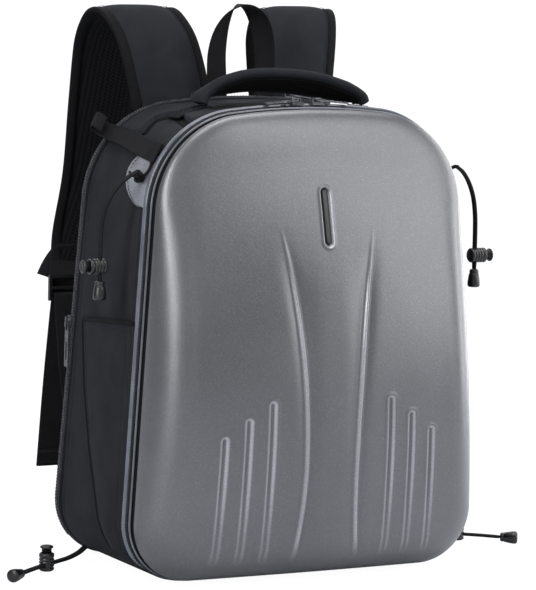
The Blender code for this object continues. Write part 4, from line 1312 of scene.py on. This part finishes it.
def padded_band(name, path, across, widths, thickness, materials, rim=0.008, rim_thick=0.0042):
    """A padded strap with materials for its upper face, bound edges and lower face."""
    rows = []
    for (point, wide, up), width, thick in zip(frames_along(path, across), widths, thickness):
        half = width / 2
        inner = half - rim
        crown = []
        for k in range(17):
            share = 1 - k / 8
            crown.append((inner * share, rim_thick / 2 - 0.0007 + (thick - rim_thick) / 2 * (1 - share**4)))
        round_x = half - rim_thick / 2
        edge = [(-inner, rim_thick / 2), (-(inner + rim * 0.4), rim_thick / 2)]
        for k in range(5):
            turn = math.pi / 2 + math.pi * k / 4
            edge.append((-round_x + rim_thick / 2 * math.cos(turn), rim_thick / 2 * math.sin(turn)))
        edge += [(-(inner + rim * 0.4), -rim_thick / 2), (-inner, -rim_thick / 2)]
        section = crown + edge + [(-a, -b) for a, b in crown] + [(-a, -b) for a, b in edge]
        rows.append([point + wide * a + up * b for a, b in section])
    band = skin(name, rows, materials[0], wrap_columns=True, cap_rows=True)
    for extra in materials[1:]:
        band.data.materials.append(extra)
    columns = [0] * 16 + [1] * 10 + [2] * 16 + [1] * 10
    index = np.array(columns * (len(path) - 1) + [1, 1], np.int32)
    band.data.polygons.foreach_set("material_index", index)
    return band


def band_stitches(name, path, across, widths, flip, body, rim=0.0093, lift=0.0031):
    """Stitched lines inside both bound edges of a padded band, on one face."""
    for share, label in ((-1, "a"), (1, "b")):
        line, normals = [], []
        for (point, wide, up), width in zip(frames_along(path, across), widths):
            line.append(point + wide * share * (width / 2 - rim) + up * flip * lift)
            normals.append(up * flip)
        finish_piece(stitch_row(name + "_" + label, line, normals), body)


HANDLE_Y = FRONT_SEAM + 0.055
HANDLE_LEAN = math.radians(28)
HANDLE_ROUTE = (
    # x, rise along the arch, share of its lean that the band's width takes
    (-0.090, -0.0010, 0.00), (-0.086, 0.0070, 0.35), (-0.070, 0.0156, 0.80), (-0.045, 0.0214, 1.00),
    (-0.018, 0.0236, 1.00),
    (0.018, 0.0218, 1.00), (0.045, 0.0172, 1.00), (0.070, 0.0108, 0.80), (0.086, 0.0048, 0.35),
    (0.090, -0.0010, 0.00),
)
HANDLE_WIDTHS = (0.028, 0.034, 0.040, 0.043, 0.044, 0.044, 0.043, 0.040, 0.034, 0.028)
HANDLE_THICKNESS = (0.0095, 0.0115, 0.0130, 0.0140, 0.0145, 0.0145, 0.0140, 0.0130, 0.0115, 0.0095)


def carry_handle():
    base = TOP_Z + 0.001
    points = [(x, HANDLE_Y + rise * math.sin(HANDLE_LEAN), base + rise * math.cos(HANDLE_LEAN))
        for x, rise, _ in HANDLE_ROUTE]
    leans = [HANDLE_LEAN * share for _, _, share in HANDLE_ROUTE]
    path, (widths, thickness, leans) = sampled(points, (HANDLE_WIDTHS, HANDLE_THICKNESS, leans), 8)
    across = [(0, math.cos(lean), -math.sin(lean)) for lean in leans]
    band = padded_band("carry_handle_pad", path, across, widths, thickness,
        (BODY_CLOTH, BODY_CLOTH, AIR_MESH), 0.0085, 0.0100)
    finish_piece(band, "handle", ("carry_handle",))
    band_stitches("handle_stitches", path, across, widths, -1, "handle", 0.0075, 0.0058)


def crown_spot(x, y, off):
    """A point off metres above the top of the case."""
    z = float(np.interp(abs(x), WALL[::-1, 0][:len(WALL) // 2], WALL[::-1, 1][:len(WALL) // 2]))
    return Vector((x, y, z + off))


def handle_foot(side):
    """The boxed and cross-stitched webbing tab that holds the handle down."""
    rows = []
    for x in np.linspace(0.082, 0.118, 14):
        rows.append([crown_spot(side * x, HANDLE_Y + across, 0.0016)
            for across in np.linspace(-0.0125, 0.0125, 10)])
    tab = thicken(skin("handle_tab_" + side_name(side), rows, WEBBING), 0.0014, 0)
    finish_piece(tab, "case")
    corners = ((0.090, -0.0095), (0.114, -0.0095), (0.114, 0.0095), (0.090, 0.0095), (0.090, -0.0095),
        (0.114, 0.0095), (0.114, -0.0095), (0.090, 0.0095))
    path = []
    for (xa, ya), (xb, yb) in zip(corners, corners[1:]):
        path += [crown_spot(side * (xa + (xb - xa) * t), HANDLE_Y + ya + (yb - ya) * t, 0.0027)
            for t in np.linspace(0, 0.95, 10)]
    finish_piece(stitch_row("handle_cross_" + side_name(side), path, [(side * 0.35, 0, 1)] * len(path)),
        "case")


LOOP_Y = FRONT_SEAM + 0.143
HANG_ROUTE = (
    (-0.027, -0.001), (-0.028, 0.020), (-0.028, 0.045), (-0.023, 0.068), (-0.013, 0.085), (0.000, 0.092),
    (0.013, 0.085), (0.022, 0.068), (0.026, 0.045), (0.027, 0.020), (0.027, -0.001),
)


def hang_loop():
    base = TOP_Z + 0.002
    path = smooth_path([(x, LOOP_Y, base + rise) for x, rise in HANG_ROUTE], 10)
    across = []
    for i in range(len(path)):
        share = i / (len(path) - 1)
        twist = math.pi * (share - math.sin(2 * math.pi * share) / (2 * math.pi))
        across.append((math.cos(twist), math.sin(twist), 0))
    ribbon = swept_strap("hanging_ribbon", path, across, [0.022] * len(path), 0.0016, WEBBING)
    finish_piece(ribbon, "hanging_loop", ("hang_loop",))


carry_handle()
handle_foot(-1)
handle_foot(1)
hang_loop()

STRAP_PATH = (
    (0.0660, 0.1835, 0.420), (0.0680, 0.1860, 0.450), (0.0730, 0.1930, 0.485), (0.0800, 0.2040, 0.520),
    (0.0870, 0.2200, 0.541), (0.0910, 0.2375, 0.549), (0.0950, 0.2560, 0.542), (0.0980, 0.2740, 0.514),
    (0.1040, 0.2778, 0.450), (0.1110, 0.2789, 0.380), (0.1245, 0.2776, 0.320), (0.1320, 0.2717, 0.286),
)
STRAP_WIDTHS = (0.080, 0.088, 0.090, 0.090, 0.090, 0.090, 0.088, 0.085, 0.078, 0.070, 0.062, 0.054)
STRAP_THICKNESS = (0.0085, 0.0110, 0.0115, 0.0115, 0.0110, 0.0110, 0.0115, 0.0120, 0.0120, 0.0120,
    0.0110, 0.0070)
ADJUSTER_WIDTH = 0.025


def behind(side, x, back, z):
    """A point on the leaning back, by its distance behind the front seam at the base."""
    return Vector((side * x, FRONT_SEAM + back - BACK_LEAN * z, z))


def shoulder_strap(side):
    name = side_name(side)
    points = [behind(side, *p) for p in STRAP_PATH]
    path, (widths, thickness) = sampled(points, (STRAP_WIDTHS, STRAP_THICKNESS), 8)
    across = [(1, 0, 0)] * len(path)
    band = padded_band("padded_strap_" + name, path, across, widths, thickness,
        (AIR_MESH, BINDING, BODY_CLOTH), 0.0100, 0.0046)
    finish_piece(band, "back_panel", ("shoulder_strap_" + name,))
    band_stitches("strap_stitches_" + name, path, across, widths, -1, "back_panel", 0.0112)


def adjuster(side):
    """Webbing from the back panel's foot, round the buckle's lower bar and down to a hemmed tail."""
    name = side_name(side)
    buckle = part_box("strap_buckle_" + name)
    bar = float(buckle[0][2]) + 0.0015
    route = [(0.151, 0.1812, 0.048), (0.151, 0.1850, 0.075), (0.151, 0.2010, 0.110), (0.151, 0.2270, 0.175)]
    route += [(0.150, 0.2440, 0.225), (0.150, 0.2505, bar), (0.150, 0.2520, bar + 0.0045),
        (0.150, 0.2545, bar + 0.0058)]
    route += [(0.150, 0.2570, bar + 0.0045), (0.150, 0.2585, bar), (0.152, 0.2585, 0.225),
        (0.157, 0.2568, 0.160), (0.163, 0.2523, 0.078)]
    path = smooth_path([behind(side, *p) for p in route], 6)
    count = len(path)
    band = swept_strap("adjuster_strap_" + name, path, [(1, 0, 0)] * count, [ADJUSTER_WIDTH] * count,
        WEBBING_THICKNESS, WEBBING)
    hem = [path[-1] + (path[-4] - path[-1]).normalized() * 0.0165 * t + Vector((0, -0.0016, 0))
        for t in np.linspace(-0.03, 1, 6)]
    fold = swept_strap("adjuster_hem", hem, [(1, 0, 0)] * 6, [ADJUSTER_WIDTH - 0.0004] * 6, 0.0016, WEBBING)
    whole = join_pieces("adjuster_strap_" + name, [band, fold])
    finish_piece(whole, "back_panel", ("adjuster_webbing_" + name,))
    for label, share in (("low", 0.25), ("high", 0.85)):
        line = [hem[0] + (hem[-1] - hem[0]) * share + Vector((a, -0.0010, 0))
            for a in np.linspace(-0.011, 0.011, 12)]
        finish_piece(stitch_row("hem_stitches_%s_%s" % (label, name), line, [(0, -1, 0)] * 12),
            "back_panel")


def strap_tab(side):
    """The folded webbing tab that sews the buckle to the strap's lower end, with its finger corner."""
    name = side_name(side)
    end = behind(side, *STRAP_PATH[-1])
    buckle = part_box("strap_buckle_" + name)
    top = behind(side, 0.150, 0.2545, float(buckle[1][2]) - 0.0015)
    path = smooth_path([end + Vector((side * 0.004, 0, 0.020)),
        end + Vector((side * 0.010, 0.001, 0.006)), top + Vector((0, 0.0040, 0.001)),
        top + Vector((0, 0.0058, -0.0050)), top + Vector((0, 0.0064, -0.0140)),
        top + Vector((0, 0.0066, -0.0250))], 6)
    count = len(path)
    tab = swept_strap("buckle_tab", path, [(1, 0, 0)] * count, [0.030] * count, 0.0016, WEBBING)
    rows = []
    for t in np.linspace(0, 1, 16):
        ridge = end + Vector((side * (0.020 + 0.020 * t), 0.004 + 0.004 * math.sin(math.pi * t),
            0.020 - 0.030 * t))
        hollow = end + Vector((side * (0.018 + 0.006 * t), 0.000, 0.020 - 0.036 * t))
        rows.append([hollow + (ridge - hollow) * s + Vector((0, -0.0035 * math.sin(math.pi * s) * t, 0))
            for s in np.linspace(0, 1, 10)])
    corner = thicken(skin("finger_corner", rows, WEBBING), 0.0015, 0)
    whole = join_pieces("strap_tab_" + name, [tab, corner])
    thicken(whole, 0.0010, 0)
    finish_piece(whole, "back_panel")


for side in (-1, 1):
    shoulder_strap(side)
    adjuster(side)
    strap_tab(side)

# ---- Back panel and its pads ----


def planar_uv(obj):
    """UVs in metres, laid flat on x and z."""
    mesh = obj.data
    layer = mesh.uv_layers.get("metres") or mesh.uv_layers.new(name="metres")
    index = np.empty(len(mesh.loops), np.int32)
    mesh.loops.foreach_get("vertex_index", index)
    layer.data.foreach_set("uv", read_spots(mesh)[index][:, (0, 2)].astype(np.float32).ravel())
    return obj


def plate(name, inset, front, back, mat):
    """An upright panel that fills the outline."""
    ring, _ = outline_points(inset, per_metre=220)
    middle = np.array([0, (ring[:, 1].min() + ring[:, 1].max()) / 2])
    rows = []
    for y, shares in ((front, np.linspace(0.02, 1, 26)), (back, np.linspace(1, 0.02, 26))):
        for share in shares:
            spot = middle + (ring[:, :2] - middle) * share
            rows.append(np.stack([spot[:, 0], np.full(len(spot), y), spot[:, 1]], 1))
    return planar_uv(skin(name, rows, mat, wrap_columns=True, cap_rows=True))


def cushion_grid(low, high, front, back):
    """A cushion with a squared-off outline and a domed back."""
    power, around = 0.45, 96
    centre = ((low[0] + high[0]) / 2, (low[1] + high[1]) / 2)
    size = ((high[0] - low[0]) / 2, (high[1] - low[1]) / 2)
    rows = []
    for turn_share in np.linspace(0, 1, 16):
        turn = math.pi / 2 * turn_share
        y = front + 0.0006 + (back - front - 0.0012) * math.sin(turn)
        shrink = 1 - 0.13 * (1 - math.cos(turn))
        rows.append((y, shrink))
    outline = []
    for i in range(around):
        turn = 2 * math.pi * i / around
        c, s = math.cos(turn), math.sin(turn)
        outline.append((math.copysign(abs(c) ** power, c), math.copysign(abs(s) ** power, s)))
    made = [[(centre[0] + size[0] * s * a, front, centre[1] + size[1] * s * b) for a, b in outline]
        for s in (0.05, 0.4, 0.75)]
    made += [[(centre[0] + size[0] * s * a, y, centre[1] + size[1] * s * b) for a, b in outline]
        for y, s in rows]
    made += [[(centre[0] + size[0] * s * a, back, centre[1] + size[1] * s * b) for a, b in outline]
        for s in (0.75, 0.62, 0.5, 0.38, 0.26, 0.15, 0.06)]
    return made


STUFFING_FRAMES = 20


def swell(obj, most, low_y):
    """Blows a closed cushion up like stuffed cloth and keeps the result."""
    bpy.context.view_layer.objects.active = obj
    remesh = obj.modifiers.new("even", "REMESH")
    remesh.mode = "VOXEL"
    remesh.voxel_size = 0.005
    remesh.use_smooth_shade = True
    bake(obj)
    mesh = obj.data
    start = read_spots(mesh)
    cloth = obj.modifiers.new("stuffing", "CLOTH")
    cloth.settings.use_pressure = True
    cloth.settings.uniform_pressure_force = 4
    cloth.settings.effector_weights.gravity = 0
    cloth.settings.tension_stiffness = 40
    cloth.settings.compression_stiffness = 40
    scene = bpy.context.scene
    for step in range(1, STUFFING_FRAMES + 1):
        scene.frame_set(step)
    graph = bpy.context.evaluated_depsgraph_get()
    blown = bpy.data.meshes.new_from_object(obj.evaluated_get(graph))
    scene.frame_set(1)
    obj.modifiers.clear()
    move = read_spots(blown) - start
    far = np.linalg.norm(move, axis=1, keepdims=True)
    move *= np.minimum(1, most / np.maximum(far, 1e-9))
    kept = start + move
    kept[:, 1] = np.maximum(kept[:, 1], low_y)
    mesh.vertices.foreach_set("co", kept.ravel())
    mesh.update()
    return obj


def back_cushion(name, node_name, channels, thick):
    low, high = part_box(node_name)
    front, back = PAD_FACE, PAD_FACE + thick
    trim = 0.0035
    rows = cushion_grid((low[0] + trim, low[2] + trim), (high[0] - trim, high[2] - trim), front + 0.0004,
        back - 0.003)
    pad = skin(name, rows, AIR_MESH, wrap_columns=True, cap_rows=True)
    swell(pad, 0.005, front + 0.0002)
    smoother = pad.modifiers.new("smooth", "SUBSURF")
    smoother.levels = smoother.render_levels = 1
    bake(pad)
    spots = read_spots(pad.data)
    proud = np.clip((spots[:, 1] - front) / (back - front), 0, 1)
    for height in channels:
        line = float(low[2]) + (float(high[2]) - float(low[2])) * height
        spots[:, 1] -= proud * 0.0070 * np.exp(-(((spots[:, 2] - line) / 0.0050) ** 2))
    pad.data.vertices.foreach_set("co", spots.ravel())
    if pad.data.materials:
        pad.data.materials[0] = AIR_MESH
    else:
        pad.data.materials.append(AIR_MESH)
    pad.data.shade_smooth()
    planar_uv(lean_back(pad))
    finish_piece(pad, "back_panel", (node_name,))


BOARD_FACE, BOARD_THICKNESS = FRONT_SEAM + 0.1733, 0.0040
PAD_FACE = BOARD_FACE + BOARD_THICKNESS + 0.0003
board = plate("back_board_cloth", 0.0015, BOARD_FACE, BOARD_FACE + BOARD_THICKNESS, BODY_CLOTH)
finish_piece(lean_back(board), "back_panel", ("back_board",))
back_cushion("padded_back_left", "back_pad_left", (0.34, 0.67), 0.0170)
back_cushion("padded_back_right", "back_pad_right", (0.34, 0.67), 0.0170)
back_cushion("padded_lumbar", "lumbar_pad", (0.5,), 0.0190)

# ---- Inside ----


def interior():
    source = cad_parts["foam_cradle"]
    cradle = bpy.data.objects.new("cut_foam_cradle", source.data.copy())
    bpy.context.collection.objects.link(cradle)
    cradle.data.materials.clear()
    cradle.data.materials.append(FOAM)
    round_over = cradle.modifiers.new("soft_edges", "BEVEL")
    round_over.width = 0.0016
    round_over.segments = 3
    round_over.limit_method = "ANGLE"
    round_over.angle_limit = math.radians(50)
    finish_piece(cradle, "case", ("foam_cradle",))
    low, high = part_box("partition")
    wall = plate("partition_cloth", 0.0043, float(low[1]), float(high[1]), LINING)
    finish_piece(wall, "case", ("partition",))
    sleeve_pocket()
    mesh_pocket()


def sleeve_pocket():
    """An open-topped sleeve with a padded face and a bound mouth."""
    low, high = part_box("laptop_sleeve")
    width, back, top = (float(v) for v in high)
    _, front, foot = (float(v) for v in low)
    made = []
    for y, thick, label in ((front + 0.0012, 0.0020, "front"), (back - 0.0014, 0.0024, "back")):
        rows = []
        for z in np.linspace(foot + 0.002, top - 0.001, 40):
            row = []
            for x in np.linspace(-width + 0.001, width - 0.001, 40):
                puff = 0.0006 * noise.noise(Vector((x * 16, y * 9, z * 14)))
                row.append((x, y + puff, z))
            rows.append(row)
        made.append(thicken(skin("sleeve_" + label, rows, LINING), thick, 0))
    rim = []
    for x, y in ((-width, front), (-width, back), (width, back), (width, front), (-width, front)):
        rim.append((x * 0.993, min(max(y, front + 0.0014), back - 0.0014)))
    for z0, z1, mat in ((foot + 0.001, top - 0.001, LINING), (top - 0.009, top, BINDING)):
        rows = []
        for z in np.linspace(z0, z1, 12):
            row = []
            for (xa, ya), (xb, yb) in zip(rim, rim[1:]):
                row += [(xa + (xb - xa) * t, ya + (yb - ya) * t, z) for t in np.linspace(0, 1, 20)[:-1]]
            rows.append(row)
        made.append(thicken(skin("sleeve_wall", rows, mat, wrap_columns=True),
            0.0022 if mat is BINDING else 0.0014, 0))
    for piece in made:
        bake(piece)
    sleeve = join_pieces("padded_sleeve", made)
    finish_piece(sleeve, "case", ("laptop_sleeve",))


def mesh_pocket():
    """The zipped-in mesh sheet across the inside of the shell."""
    low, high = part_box("lid_mesh_pocket")
    y = (float(low[1]) + float(high[1])) / 2
    top = float(high[2]) - 0.001
    foot = float(low[2]) + 0.001
    rows = []
    for z in np.linspace(foot, top, 50):
        wide = float(np.interp(z, WALL[:, 1], WALL[:, 0])) - 0.0100
        if z < BOTTOM_CORNER[1]:
            drop = BOTTOM_CORNER[1] - z
            reach = BOTTOM_RADIUS - 0.0100
            wide = BOTTOM_CORNER[0] + math.sqrt(max(reach * reach - drop * drop, 0))
        rows.append([(wide * s, y + 0.0006 * math.sin(9 * s + 20 * z), z) for s in np.linspace(-1, 1, 60)])
    sheet = skin("stretched_mesh", rows, AIR_MESH)
    finish_piece(sheet, "lid", ("lid_mesh_pocket",))
    edge = [Vector(p) for p in rows[-1]]
    finish_piece(tube("mesh_pocket_binding", edge, 0.0011, BINDING, 8), "lid")


interior()

# ---- Hard parts kept from the frame ----


def keep_node(node_name, mat, width):
    """A frame part that stays, with softened edges and a real finish."""
    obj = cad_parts[node_name]
    obj.data.materials.clear()
    obj.data.materials.append(mat)
    edge = obj.modifiers.new("edge_break", "BEVEL")
    edge.width = width
    edge.segments = 3
    edge.limit_method = "ANGLE"
    edge.angle_limit = math.radians(35)
    edge.harden_normals = False


for node_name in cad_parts:
    if node_name.endswith("_slider"):
        keep_node(node_name, METAL, 0.0009)
    elif node_name.endswith("_puller"):
        keep_node(node_name, METAL, 0.0005)
    elif node_name.startswith("strap_buckle"):
        keep_node(node_name, BLACK, 0.0007)
